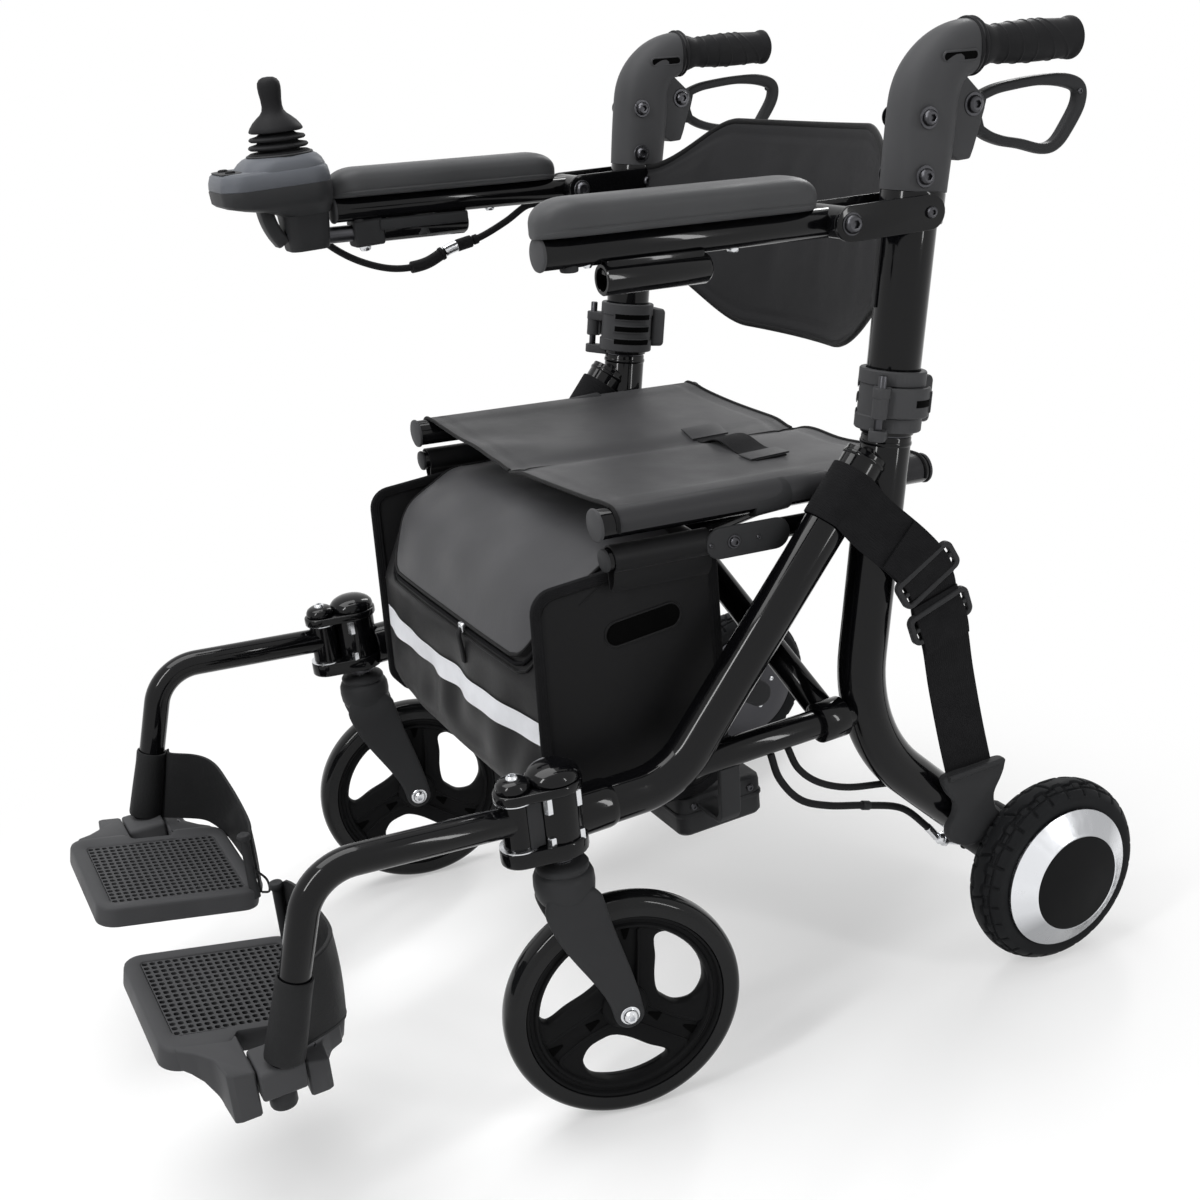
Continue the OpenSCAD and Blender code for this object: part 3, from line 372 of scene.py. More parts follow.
def bolt(origin, axis, r, h, material, washer=0):
    """Button-head bolt: a domed head with a six-sided socket, on a washer where one is given."""
    sides = 36
    axis, spoke = around(axis, sides)
    a = full_turn(sides)
    hexagon = 1 / np.cos((a + np.pi / 6) % (np.pi / 3) - np.pi / 6)
    base = 1.2 if washer else 0
    head = [(0, 0, 0), (r, base, 0), (r, base + 0.3 * h, 0), (0.9 * r, base + 0.7 * h, 0), (0.68 * r, base + h, 0),
            (0.5 * r, base + h, 0), (0.4 * r, base + 0.98 * h, 1), (0.4 * r, base + 0.35 * h, 1),
            (0, base + 0.3 * h, 0)]
    if washer:
        head[1:1] = [(washer, 0, 0), (washer, 0.8, 0), (washer - 0.4, base, 0)]
    rows = [origin + axis * height + radius * (hexagon ** six)[:, None] * spoke for radius, height, six in head]
    return surface(rows, material)


def double(front, back, material):
    """Closed shell between two grids of points that share their edges' outline."""
    loop = np.concatenate([front, back[:, ::-1]], 1)
    rows, cols = loop.shape[:2]
    caps = [[row * cols + k, row * cols + k + 1, row * cols + cols - 2 - k, row * cols + cols - 1 - k]
            for row in (0, rows - 1) for k in range(cols // 2 - 1)]
    shape = surface(loop, material)
    return shape._replace(faces=shape.faces + caps)


def thicken(points, depth, material):
    """Closed sheet: the grid, and the same grid lowered along its normals."""
    normal = unit(np.cross(np.gradient(points, axis=1), np.gradient(points, axis=0)))
    normal *= np.sign(normal[len(normal) // 2, 2, 2])
    return double(points, points - depth * normal, material)


def swivelled(shapes, at):
    """Shapes of a caster, turned about its stem as the frame holds it, and moved to their place."""
    c, s = math.cos(SWIVEL), math.sin(SWIVEL)
    turn = np.array([[c, s, 0], [-s, c, 0], [0, 0, 1]])
    return [shape._replace(verts=shape.verts @ turn + at) for shape in shapes]


def mirrored(shapes, sign):
    """Shapes of the left side, or their mirror images for the right side."""
    return [s._replace(verts=s.verts * point(sign, 1, 1)) for s in shapes]


def placed(name, data):
    """New object that holds the data, in the scene."""
    made = bpy.data.objects.new(name, data)
    bpy.context.scene.collection.objects.link(made)
    return made


def inflate(shape, held, cap, pressure=4.0, frames=20):
    """Blows a closed shape up with the cloth solver, without gravity, and applies the result to its points.

    Points marked in held are sewn fast, and no other point moves further than cap.
    """
    scene = bpy.context.scene
    mesh = bpy.data.meshes.new("swell")
    mesh.from_pydata((shape.verts * MM).tolist(), [], shape.faces)
    work = placed("swell", mesh)
    sewn = work.vertex_groups.new(name="sewn")
    sewn.add(np.flatnonzero(held).tolist(), 1, "REPLACE")
    cloth = work.modifiers.new("Cloth", "CLOTH")
    cloth.settings.vertex_group_mass = sewn.name
    cloth.settings.use_pressure = True
    cloth.settings.uniform_pressure_force = pressure
    cloth.settings.effector_weights.gravity = 0
    cloth.settings.bending_stiffness = 40
    cloth.collision_settings.use_collision = False
    cloth.point_cache.frame_start, cloth.point_cache.frame_end = 1, frames
    for number in range(1, frames + 1):
        scene.frame_set(number)
    swollen = np.zeros(3 * len(shape.verts))
    done = work.evaluated_get(bpy.context.evaluated_depsgraph_get())
    done.data.vertices.foreach_get("co", swollen)
    scene.frame_set(1)
    bpy.data.objects.remove(work)
    bpy.data.meshes.remove(mesh)
    shift = swollen.reshape(-1, 3) / MM - shape.verts
    far = np.linalg.norm(shift, axis=1, keepdims=True)
    return shape._replace(verts=shape.verts + shift * np.minimum(1, cap / np.maximum(far, 1e-6)))


def piece(name, shapes, body, replaces=(), sharp=38):
    """Joins shapes into one mesh in the frame, welds their seams and poles, and lets it ride on a body."""
    mesh = bpy.data.meshes.new(name)
    starts = np.cumsum([0] + [len(s.verts) for s in shapes])
    verts = (np.concatenate([s.verts for s in shapes]) + MIDDLE) * MM
    faces = [[k + start for k in face] for s, start in zip(shapes, starts) for face in s.faces]
    mesh.from_pydata(verts.tolist(), [], faces)
    names = list(dict.fromkeys(s.material for s in shapes))
    for material in names:
        mesh.materials.append(bpy.data.materials[f"{material} finish"])
    index = [names.index(s.material) for s in shapes for _ in s.faces]
    mesh.polygons.foreach_set("material_index", index)
    corner = np.zeros(len(mesh.loops), int)
    mesh.loops.foreach_get("vertex_index", corner)
    uv = mesh.uv_layers.new(name="Run")
    uv.data.foreach_set("uv", np.concatenate([s.uv for s in shapes])[corner].ravel())
    work = bmesh.new()
    work.from_mesh(mesh)
    bmesh.ops.remove_doubles(work, verts=work.verts, dist=2e-6)
    bmesh.ops.dissolve_degenerate(work, edges=work.edges, dist=1e-6)
    bmesh.ops.recalc_face_normals(work, faces=work.faces)
    work.to_mesh(mesh)
    work.free()
    mesh.polygons.foreach_set("use_smooth", [True] * len(mesh.polygons))
    mesh.set_sharp_from_angle(angle=math.radians(sharp))
    made = placed(name, mesh)
    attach(made, body)
    if replaces:
        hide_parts(*replaces)
    return made


def dress(name, shapes, body, sharp=38):
    """Piece that stands for the node of its own name."""
    return piece(f"dressed_{name}", shapes, body, (name,), sharp)


def pair(name, shapes, body):
    """The same shapes on both sides."""
    return [dress(f"{name}_{side}", mirrored(shapes, sign), f"{side}_{body}") for side, sign in SIDES]


# Materials

def add_node(tree, kind, inputs, **settings):
    """New shader node with its settings; each input is given a plain value or the socket that feeds it."""
    node = tree.nodes.new(f"ShaderNode{kind}")
    for key, value in settings.items():
        setattr(node, key, value)
    for key, value in inputs.items():
        if isinstance(value, bpy.types.NodeSocket):
            tree.links.new(value, node.inputs[key])
        else:
            node.inputs[key].default_value = value
    return node


def combine(tree, a, b, how="MAXIMUM"):
    return add_node(tree, "Math", {0: a, 1: b}, operation=how).outputs[0]


def seen(tree):
    """1 for the camera's rays and for those that come off a mirror or through glass, else 0."""
    path = add_node(tree, "LightPath", {}).outputs
    straight = combine(tree, path["Is Camera Ray"], path["Is Transmission Ray"])
    return combine(tree, straight, path["Is Glossy Ray"])


class Finish:
    """Material under way: its shader, and patterns on Object coordinates or on the piece's own UV map.

    Its name keeps it apart from the frame's plain materials.
    """

    def __init__(self, name, colour, rough=0.5, kind="Object", metal=0.0, coat=0.0, shine=0.014):
        self.material = bpy.data.materials.new(f"{name} finish")
        self.material.use_nodes = True
        self.tree, self.colour = self.material.node_tree, colour
        self.shader = self.tree.nodes["Principled BSDF"]
        self.where = self.coordinates(kind)
        self.plain({"Base Color": (*colour, 1), "Roughness": rough, "Metallic": metal, "Coat Weight": coat,
                    "Coat Roughness": 0.05, "Specular IOR Level": 0.5 if metal else shine})

    def plain(self, values):
        for key, value in values.items():
            self.shader.inputs[key].default_value = value

    def coordinates(self, kind):
        return add_node(self.tree, "TexCoord", {}).outputs[kind]

    def noise(self, scale, detail):
        return add_node(self.tree, "TexNoise", {"Vector": self.where, "Scale": scale, "Detail": detail}).outputs["Fac"]

    def cells(self, scale):
        """Grain of leather: distance to the edges of irregular cells."""
        inputs = {"Vector": self.where, "Scale": scale}
        return add_node(self.tree, "TexVoronoi", inputs, feature="DISTANCE_TO_EDGE").outputs["Distance"]

    def bands(self, scale, direction, where=None):
        """Parallel ridges, as of a woven thread."""
        inputs = {"Vector": where or self.where, "Scale": scale, "Distortion": 0.4}
        return add_node(self.tree, "TexWave", inputs, bands_direction=direction).outputs["Fac"]

    def crossed(self, along, across, how="MAXIMUM", where=None):
        """Two crossing sets of ridges."""
        return combine(self.tree, self.bands(along, "X", where), self.bands(across, "Y", where), how)

    def ranged(self, value, low, high):
        inputs = {"Value": value, "From Min": 0.3, "From Max": 0.7, "To Min": low, "To Max": high}
        return add_node(self.tree, "MapRange", inputs).outputs["Result"]

    def bump(self, height, depth, strength=1.0):
        """Relief of a given depth in metres, on top of any relief that is there."""
        inputs = {"Distance": depth, "Strength": strength, "Height": height}
        normal = self.shader.inputs["Normal"]
        if normal.is_linked:
            inputs["Normal"] = normal.links[0].from_socket
        self.tree.links.new(add_node(self.tree, "Bump", inputs).outputs["Normal"], normal)

    def mottle(self, spread, value):
        """Base colour that swings a little darker and lighter."""
        tones = [(*[c * k for c in self.colour], 1) for k in (1 - spread, 1 + spread)]
        node = add_node(self.tree, "Mix", {0: value, 6: tones[0], 7: tones[1]}, data_type="RGBA")
        self.tree.links.new(node.outputs[2], self.shader.inputs["Base Color"])

    def vary(self, low, high, value):
        """Roughness that swings between two values."""
        self.tree.links.new(self.ranged(value, low, high), self.shader.inputs["Roughness"])


def patchy_finish(name, colour, rough, gloss, tone, grain=(), **plain):
    """Finish whose roughness and tone swing in soft patches, over a fine grain where one is given.

    gloss is (scale, detail), tone is (spread, scale, detail) and grain is (scale, detail, depth, strength).
    """
    made = Finish(name, colour, **plain)
    made.vary(*rough, made.noise(*gloss))
    made.mottle(tone[0], made.noise(*tone[1:]))
    if grain:
        made.bump(made.noise(*grain[:2]), *grain[2:])
    return made


def paint_finish(colour):
    """Gloss powder coat: faint orange peel, dust and small changes of gloss."""
    patchy_finish("paint", colour, (0.12, 0.24), (35, 5), (0.3, 9, 4), (260, 2, 0.00012, 0.25), coat=0.36, shine=0.05)


def moulding_finish(name, colour, low, high, grain=1500, shine=0.04):
    """Moulded plastic with a fine spark-eroded grain."""
    patchy_finish(name, colour, (low, high), (28, 5), (0.14, 14, 4), (grain, 2, 0.00012, 0.35), shine=shine)


def rubber_finish(name, colour, low, high, depth=0.0001, coat=0.0):
    """Rubber with a dull bloom in patches."""
    patchy_finish(name, colour, (low, high), (40, 6), (0.25, 22, 5), (900, 3, depth, 0.4), coat=coat, shine=0.04)


def metal_finish(name, colour, low, high):
    """Bare or plated metal with handling marks."""
    patchy_finish(name, colour, (low, high), (60, 6), (0.08, 30, 4), (700, 3, 0.00005, 0.3), metal=1.0)


def leather_finish(name, colour, low, high, grain, depth):
    """Leather-look skin: irregular cells with creases between them."""
    made = patchy_finish(name, colour, (low, high), (30, 4), (0.2, 16, 5), shine=0.06)
    made.bump(made.cells(grain), depth, 0.6)
    made.bump(made.noise(grain * 0.25, 4), depth, 0.3)


def cloth_finish(name, colour, low, high, thread, depth, shine=0.07):
    """Coated woven cloth: two crossing sets of threads under a thin coat."""
    made = patchy_finish(name, colour, (low, high), (20, 5), (0.16, 8, 5), shine=shine)
    made.plain({"Sheen Weight": 0.85 * shine, "Sheen Roughness": 0.4})
    slanted = add_node(made.tree, "Mapping", {"Vector": made.where, "Rotation": (0.4, 0.5, 0.6)}).outputs[0]
    made.bump(made.crossed(thread, thread, where=slanted), depth, 0.5)
    made.bump(made.noise(90, 4), 0.0006, 0.25)


def webbing_finish(colour):
    """Belt webbing: ribs across the strap and fine threads along it, on the strap's own UV map."""
    made = Finish("webbing", colour, 0.62, "UV")
    made.plain({"Sheen Weight": 0.012})
    made.mottle(0.3, made.noise(60, 4))
    made.bump(made.crossed(260, 140, "MULTIPLY"), 0.0004, 0.8)


def brushed_finish(colour):
    """Turned aluminium: fine rings from the cone's own UV map, and a painted highlight: the base colour turns lighter
    and darker twice round the axle.
    """
    made = Finish("brushed", colour, 0.24, "UV", metal=1.0)
    made.plain({"Anisotropic": 0.6})
    tree = made.tree
    axle = {0: made.coordinates("Object"), 1: (REAR_AXLE + MIDDLE) * MM}
    spoke = add_node(tree, "VectorMath", axle, operation="SUBTRACT").outputs[0]
    parts = add_node(tree, "SeparateXYZ", {0: spoke}).outputs
    angle = combine(tree, parts["Z"], parts["Y"], "ARCTAN2")
    phase = add_node(tree, "Math", {0: angle, 1: 2, 2: 2.2}, operation="MULTIPLY_ADD").outputs[0]
    painted_highlight_wave = add_node(tree, "Math", {0: phase}, operation="SINE").outputs[0]
    swing = add_node(tree, "Math", {0: painted_highlight_wave, 1: 0.5, 2: 0.5}, operation="MULTIPLY_ADD").outputs[0]
    # Painted highlight: the base colour turns lighter and darker with the angle round the axle.
    made.mottle(0.3, made.ranged(swing, 0, 1))
    made.vary(0.17, 0.3, made.noise(120, 5))
    made.bump(made.bands(900, "X"), 0.00003, 0.4)


def stripe_finish(colour):
    """Reflective tape: pale, with a fine diamond grid."""
    made = Finish("stripe", colour, 0.42, "UV")
    made.mottle(0.07, made.noise(70, 3))
    made.bump(made.crossed(420, 420), 0.0002, 0.5)


def zip_finish(colour):
    """Coil zip: teeth across a narrow tape."""
    made = Finish("zip", colour, kind="UV")
    made.mottle(0.4, made.bands(190, "X"))
    made.bump(made.bands(190, "X"), 0.0009)


# Settings that a user would change

def length(name, text, value):
    return bpy.props.FloatProperty(name=name, description=text, default=value * MM, min=0, unit="LENGTH")


def tint(name, text, value):
    return bpy.props.FloatVectorProperty(name=name, description=text, default=value, subtype="COLOR", min=0, max=1)


class ChairSizes(bpy.types.PropertyGroup):
    """Sizes of the dressed pieces"""
    leg_r: length("Leg", "Radius of the legs", 21)
    front_r: length("Front tube", "Radius of the front tubes", 19)
    rail_r: length("Rail", "Radius of the seat rails and the cross", 12.5)
    low_r: length("Low rail", "Radius of the rails that carry the bag", 9)
    post_r: length("Post", "Radius of the handle posts", 22.3)
    grip_r: length("Grip", "Radius of the hand grips", 16.5)
    arm_r: length("Armrest", "Radius of the armrest tubes", 12)
    pad_w: length("Pad width", "Width of the arm pads", 50)
    pad_t: length("Pad thickness", "Thickness of the arm pads", 28)
    foot_r: length("Footrest", "Radius of the footrest tubes", 12.5)
    front_w: length("Front tyre", "Width of the front tyres", 26)
    rear_w: length("Rear tyre", "Width of the rear tyres", 40)
    belt_w: length("Belt", "Width of the lap belt", 50)
    piping_r: length("Piping", "Radius of the piped edges", 2.6)


class ChairColours(bpy.types.PropertyGroup):
    """Colours of the dressed pieces"""
    paint: tint("Paint", "Gloss paint of the tubes", (0.0025, 0.0025, 0.003))
    moulding: tint("Moulding", "Satin plastic of the brackets and wheels", (0.034, 0.0345, 0.036))
    cover: tint("Cover", "Plastic of the handle covers and footplates", (0.060, 0.0605, 0.063))
    rubber: tint("Rubber", "Grips, caps and cables", (0.018, 0.018, 0.019))
    tyre: tint("Tyre", "Rubber of the tyres", (0.014, 0.0145, 0.0155))
    leather: tint("Leather", "Arm pads and heel straps", (0.020, 0.0203, 0.021))
    cloth: tint("Cloth", "Seat, back and bag", (0.038, 0.038, 0.040))
    webbing: tint("Webbing", "Lap belt and pull strap", (0.013, 0.013, 0.0138))
    steel: tint("Steel", "Bolts, washers and adjusters", (0.68, 0.69, 0.71))
    brushed: tint("Brushed", "Cone of the hub motors", (0.60, 0.61, 0.63))
    stripe: tint("Stripe", "Reflective tape on the bag", (0.74, 0.75, 0.78))
    top_shell: tint("Top shell", "Upper case of the controller", (0.105, 0.111, 0.124))
    floor: tint("Floor", "Studio floor", (0.93, 0.93, 0.93))


def sizes():
    """The chair's sizes in millimetres."""
    group = bpy.context.scene.chair_sizes
    return SimpleNamespace(**{key: getattr(group, key) / MM for key in ChairSizes.__annotations__})


class ChairOperator(bpy.types.Operator):
    """Shared part of the chair's operators: execute() runs make() and reports that it is done"""
    bl_options = {"REGISTER", "UNDO"}

    def execute(self, context):
        self.make(sizes())
        return {"FINISHED"}


class CHAIR_OT_materials(ChairOperator):
    """Make the paints, plastics, rubbers, cloths and metals"""
    bl_idname = "chair.materials"
    bl_label = "Materials"

    def make(self, size):
        c = bpy.context.scene.chair_colours
        shade = lambda colour, share: [share * v for v in colour]
        paint_finish(c.paint)
        moulding_finish("moulding", c.moulding, 0.36, 0.5)
        moulding_finish("satin", c.cover, 0.38, 0.5)
        moulding_finish("cap", shade(c.moulding, 0.3), 0.5, 0.62, 2500)
        moulding_finish("shell", c.top_shell, 0.3, 0.4)
        moulding_finish("wheel", shade(c.moulding, 0.25), 0.36, 0.5, shine=0.03)
        # Near-black finish for sheets and linings laid in slots, holes and grooves: it paints the shade that falls in
        # them.
        moulding_finish("void", (0.001,) * 3, 0.8, 0.95)
        rubber_finish("rubber", c.rubber, 0.45, 0.62)
        rubber_finish("tyre", c.tyre, 0.4, 0.6, 0.0002)
        rubber_finish("polyurethane", shade(c.tyre, 0.4), 0.1, 0.26, coat=0.35)
        # Lighter copy of the leather for the arm pads: its extra brightness is painted sheen.
        leather_finish("pad", shade(c.leather, 3.2), 0.34, 0.46, 900, 0.00012)
        leather_finish("leather", c.leather, 0.42, 0.56, 420, 0.0005)
        cloth_finish("cloth", c.cloth, 0.34, 0.46, 420, 0.00008)
        # Darker copy of the cloth for the backrest and its cuffs: its darkness is painted shade.
        cloth_finish("back_cloth", shade(c.cloth, 0.6), 0.34, 0.46, 420, 0.00008, 0.035)
        # Lighter copy of the cloth for the bag's lid: its extra brightness is painted sheen.
        cloth_finish("lid_cloth", shade(c.cloth, 1.5), 0.32, 0.44, 360, 0.0001)
        # Darker copy of the cloth for the bag's body, sides and loops: its darkness is painted shade.
        cloth_finish("bag_cloth", shade(c.cloth, 0.3), 0.32, 0.44, 360, 0.0001)
        cloth_finish("piping", shade(c.cloth, 0.22), 0.5, 0.66, 420, 0.0003)
        webbing_finish(c.webbing)
        metal_finish("steel", c.steel, 0.18, 0.34)
        metal_finish("dark_steel", (0.06, 0.06, 0.065), 0.25, 0.4)
        brushed_finish(c.brushed)
        stripe_finish(c.stripe)
        zip_finish((0.012, 0.012, 0.013))


def end_cap(origin, axis, r, material="satin"):
    """Plastic plug on a tube's end: a thin flange with a rounded edge."""
    return lathe([[0, -6], [r - 1, -6], [r - 1, -0.2], [r + 0.7, 0], [r + 0.9, 1.2], [r + 0.4, 2.4], [r - 1.5, 3.2],
                  [0, 3.5]], origin, axis, material)


class CHAIR_OT_side_frames(ChairOperator):
    """Make both welded side frames, with their rails and brackets"""
    bl_idname = "chair.side_frames"
    bl_label = "Side Frames"

    def make(self, size):
        knee_z = 268.9
        leg = fillet([post_point(534), post_point(knee_z), LEG_END], 150, 18)
        front = fillet([TUBE_HIGH, TUBE_LOW, [FRAME_X, STEM[1] + 24, TUBE_LOW[2]]], 70, 16)
        shapes = [
            tube(leg, size.leg_r, "paint", 56),
            tube([post_point(505), post_point(684)], 19.9, "dark_steel", 48),
            tube(front, size.front_r, "paint", 56),
            tube([[FRAME_X, TUBE_LOW[1] + 11, BRACE[2]], [FRAME_X, 51, BRACE[2]]], size.rail_r, "paint"),
            tube([[LOW_X, y, low_h(y)] for y in (RAIL_FRONT + 3, 90)], size.low_r, "paint"),
            tube([[RAIL_X, y, rail_h(y)] for y in (RAIL_STOP + 5, STUB_REAR)], size.rail_r, "paint"),
            end_cap([RAIL_X, STUB_REAR, rail_h(STUB_REAR)], Y, size.rail_r),
            end_cap([LOW_X, RAIL_FRONT + 3, low_h(RAIL_FRONT + 3)], -Y, size.low_r, "moulding"),
        ]
        shapes += [tube([[inner, y, z], [FRAME_X, y, z]], 7, "paint", 28)
                   for y, z, inner in ((14.9, low_h(15), LOW_X), (73.2, low_h(72), LOW_X), (76.8, rail_h(76), RAIL_X))]
        shapes += [self.weld(front, size.front_r), self.weld(leg, size.leg_r)]
        pair("side_frame", shapes, "frame")
        inner = LOW_X + size.low_r + 0.3
        outer = inner + 3.4
        bracket = link([-70, low_h(-70)], 13.5, [-16, low_h(-16)], 13.5)
        shapes = [side_slab(bracket, inner, outer, "moulding", 0.8)]
        shapes += [bolt([outer, y, low_h(y)], X, r, high, "dark_steel", washer)
                   for y, r, high, washer in ((-58, 4.6, 2.8, 6), (-80, 1.9, 1.2, 0), (-34, 1.9, 1.2, 0))]
        pair("rail_bracket", shapes, "frame")

    def weld(self, along, r):
        """Bead round the start of a tube: a thin ring with a rounded top."""
        way = unit(along[1] - along[0])
        bead = [[r - 1, -3], [r + 0.5, -1.6], [r + 0.9, 0], [r + 0.5, 1.6], [r - 1, 3]]
        return lathe(bead, along[0] + 6 * way, way, "paint", 90)


class CHAIR_OT_cross(ChairOperator):
    """Make the folding cross and the two moving seat rails"""
    bl_idname = "chair.cross"
    bl_label = "Folding Cross"

    def make(self, size):
        r = size.rail_r
        for name, body, sign, y in (("cross_tube_a", "cross_a", 1, -14), ("cross_tube_b", "cross_b", -1, 14)):
            shapes = [
                tube([[-FRAME_X, y, BRACE[2]], [RAIL_X, y, rail_h(0)]], r, "paint", 40),
                tube([[-FRAME_X, y - 13, BRACE[2]], [-FRAME_X, y + 13, BRACE[2]]], r + 5.5, "paint", 40, 1.5),
                tube([[RAIL_X, k, rail_h(k)] for k in (RAIL_FRONT, RAIL_STOP)], r, "paint", 40),
                end_cap([RAIL_X, RAIL_FRONT, rail_h(RAIL_FRONT)], -Y, r + 0.6),
                tube([[RAIL_X, y - 18, rail_h(0)], [RAIL_X, y + 18, rail_h(0)]], r + 1.6, "moulding", 40, 1.5),
            ]
            dress(name, mirrored(shapes, sign), body)
        shapes = [
            tube([CROSS - 28 * Y, CROSS + 28 * Y], 5, "steel", 24),
            bolt(CROSS - 28 * Y, -Y, 8.5, 5, "steel", 11),
            bolt(CROSS + 28 * Y, Y, 8.5, 5, "steel", 11),
        ]
        dress("cross_bolt", shapes, "cross_a")


class CHAIR_OT_posts(ChairOperator):
    """Make the sliding posts, the handle covers, the grips and the brake levers"""
    bl_idname = "chair.posts"
    bl_label = "Posts and Handles"

    def make(self, size):
        self.posts(size)
        self.covers()
        self.grips(size)
        self.levers()

    def posts(self, size):
        r = size.post_r
        back = ARM_PIVOT[1:] + [76.5, -2]
        cheek = link(ARM_PIVOT[1:], 14, back, 14)
        shapes = [tube([post_point(535.3), post_point(771)], r, "paint", 56)]
        shapes += [side_slab(cheek, x, x + 4, "paint", 0.9) for x in (FRAME_X - r - 4.2, FRAME_X + r + 0.2)]
        ring = both([[r - 1, -13], [r + 3.4, -12.4], [r + 3.9, -11]])
        shapes.append(lathe(ring, post_point(717), POST_WAY, "paint"))
        for way in (-1, 1):
            x = FRAME_X + way * (r + 4.2)
            shapes += [bolt([x, *ARM_PIVOT[1:]], way * X, 7.5, 4.5, "dark_steel", 9),
                       bolt([x, *back], way * X, 5, 3, "dark_steel")]
        pair("upper_post", shapes, "post")

    def covers(self):
        """Elbow whose oval section narrows from the post to the grip, with its clevis, collar, slot and bolts."""
        path = resample(fillet([post_point(729), GRIP_CORNER, grip_at(36)], 47, 20), 60)
        t = np.linspace(0, 1, len(path))
        wide = 24.4 - 3.2 * ease((t - 0.55) / 0.45)
        deep = 26.4 + 1.2 * np.sin(np.pi * np.clip(t / 0.7, 0, 1)) - 5.2 * ease((t - 0.45) / 0.55)
        profile = squarer(circle(1, 64), 0.86) * np.stack([wide, deep], 1)[:, None]
        clevis = fillet_loop([[150, 808], [163, 815], [170, 808], [183, 795], [184, 786], [172, 756], [168, 748],
                              [156, 748], [146, 756], [144, 790]], 3, 4)
        collar = [[20, 0], [22.6, 0.4], [23.2, 2], [22.4, 3.4], [21.4, 4.2], [22.4, 5], [23, 6.6], [22, 8], [17, 8.6]]
        shapes = [carry(path, profile, "satin"), side_slab(clevis, FRAME_X - 12, FRAME_X + 12, "satin", 1.6),
                  lathe(collar, grip_at(35.2), GRIP_WAY, "rubber")]
        slot = round_rect(34, 7.5, 3.7, 8)
        centre = grip_at(14) - 6 * Z
        for x, way in ((22.1, 1), (-22.1, -1)):
            rim = centre + (x + 0.3 * way) * X + laid(slot, GRIP_WAY, Z)
            # A near-black plate inside each slot paints the shade in it.
            shapes += [slab(slot, 1.2, centre + (x - 0.6) * X, way * GRIP_WAY, way * Z, "void", 0.3),
                       carry(rim, circle(0.9, 8), "satin", X, True)]
        for y, z, r in ((118, 786, 6.4), (113, 742, 6.4), (*LEVER_PIN[1:], 7)):
            reach = 12 if z == LEVER_PIN[2] else 24
            shapes += [bolt([FRAME_X + way * reach, y, z], way * X, r, 4.2, "dark_steel", r + 2.4) for way in (-1, 1)]
        shapes += [tube([[FRAME_X, 152, 744], [FRAME_X, 146, 744]], 2.2, "steel", 16, 0.6),
                   tube([grip_at(38), grip_at(130)], 12, "dark_steel", 24)]
        pair("handle_cover", shapes, "post")

    def grips(self, size):
        """Grip: radius = contour along the axis + thin ridges that slant round it."""
        d = np.linspace(0, 104, 200)
        a = full_turn(72)
        run = [0, 3, 8, 16, 30, 48, 66, 84, 94, 97, 101, 103.4, 104]
        swell = [17.6, 18.2, 17.0, 14.4, 15.6, 16.5, 16.6, 15.9, 15.6, 17.2, 17.4, 16.4, 12]
        contour = np.interp(d, run, swell)
        contour = np.convolve(np.pad(contour, 4, "edge"), np.ones(9) / 9, "valid") * size.grip_r / 16.5
        grid_d, grid_a = np.meshgrid(d, a, indexing="ij")
        ridges = np.zeros_like(grid_d)
        for start, slant in ((24, 2), (38, 3), (52, 3), (68, 9), (80, 13)):
            ridges += 0.75 * ridge(grid_d, start + slant * np.sin(grid_a), 0.8)
        r = (contour[:, None] + ridges)[..., None]
        start = grip_at(44)
        points = start + grid_d[..., None] * GRIP_WAY + r * laid(spokes(a), X, np.cross(GRIP_WAY, X))
        tip = np.repeat((start + 104 * GRIP_WAY)[None, None], len(a), 1)
        pair("grip", [surface(np.r_[points, tip], "rubber")], "post")

    def levers(self):
        """Brake lever: a closed loop of a flat oval section, thicker at its tail."""
        loop = [[179, 789], [198, 797], [222, 799.5], [250, 800], [276, 797], [291, 790], [291, 777], [280, 761],
                [267, 748], [252, 745], [228, 752], [208, 757], [192, 764], [181, 774]]
        path = spline([[FRAME_X, y, z] for y, z in loop], 10, True)
        thick = 4.2 + 1.6 * ease((path[:, 1] - 240) / 45)
        profile = squarer(circle(1, 24), 0.7) * np.stack([np.full(len(path), 6.3), thick], 1)[:, None]
        root = fillet_loop([[163, 796], [176, 799], [192, 797], [190, 789], [186, 778], [190, 764], [180, 764],
                            [168, 780]], 2.5, 4)
        shapes = [carry(path, profile, "moulding", X, True),
                  side_slab(root, FRAME_X - 5.8, FRAME_X + 5.8, "moulding", 1.2),
                  bolt([FRAME_X + 5.6, 289, 787], X, 2.6, 1.2, "dark_steel")]
        pair("brake_lever", shapes, "brake")


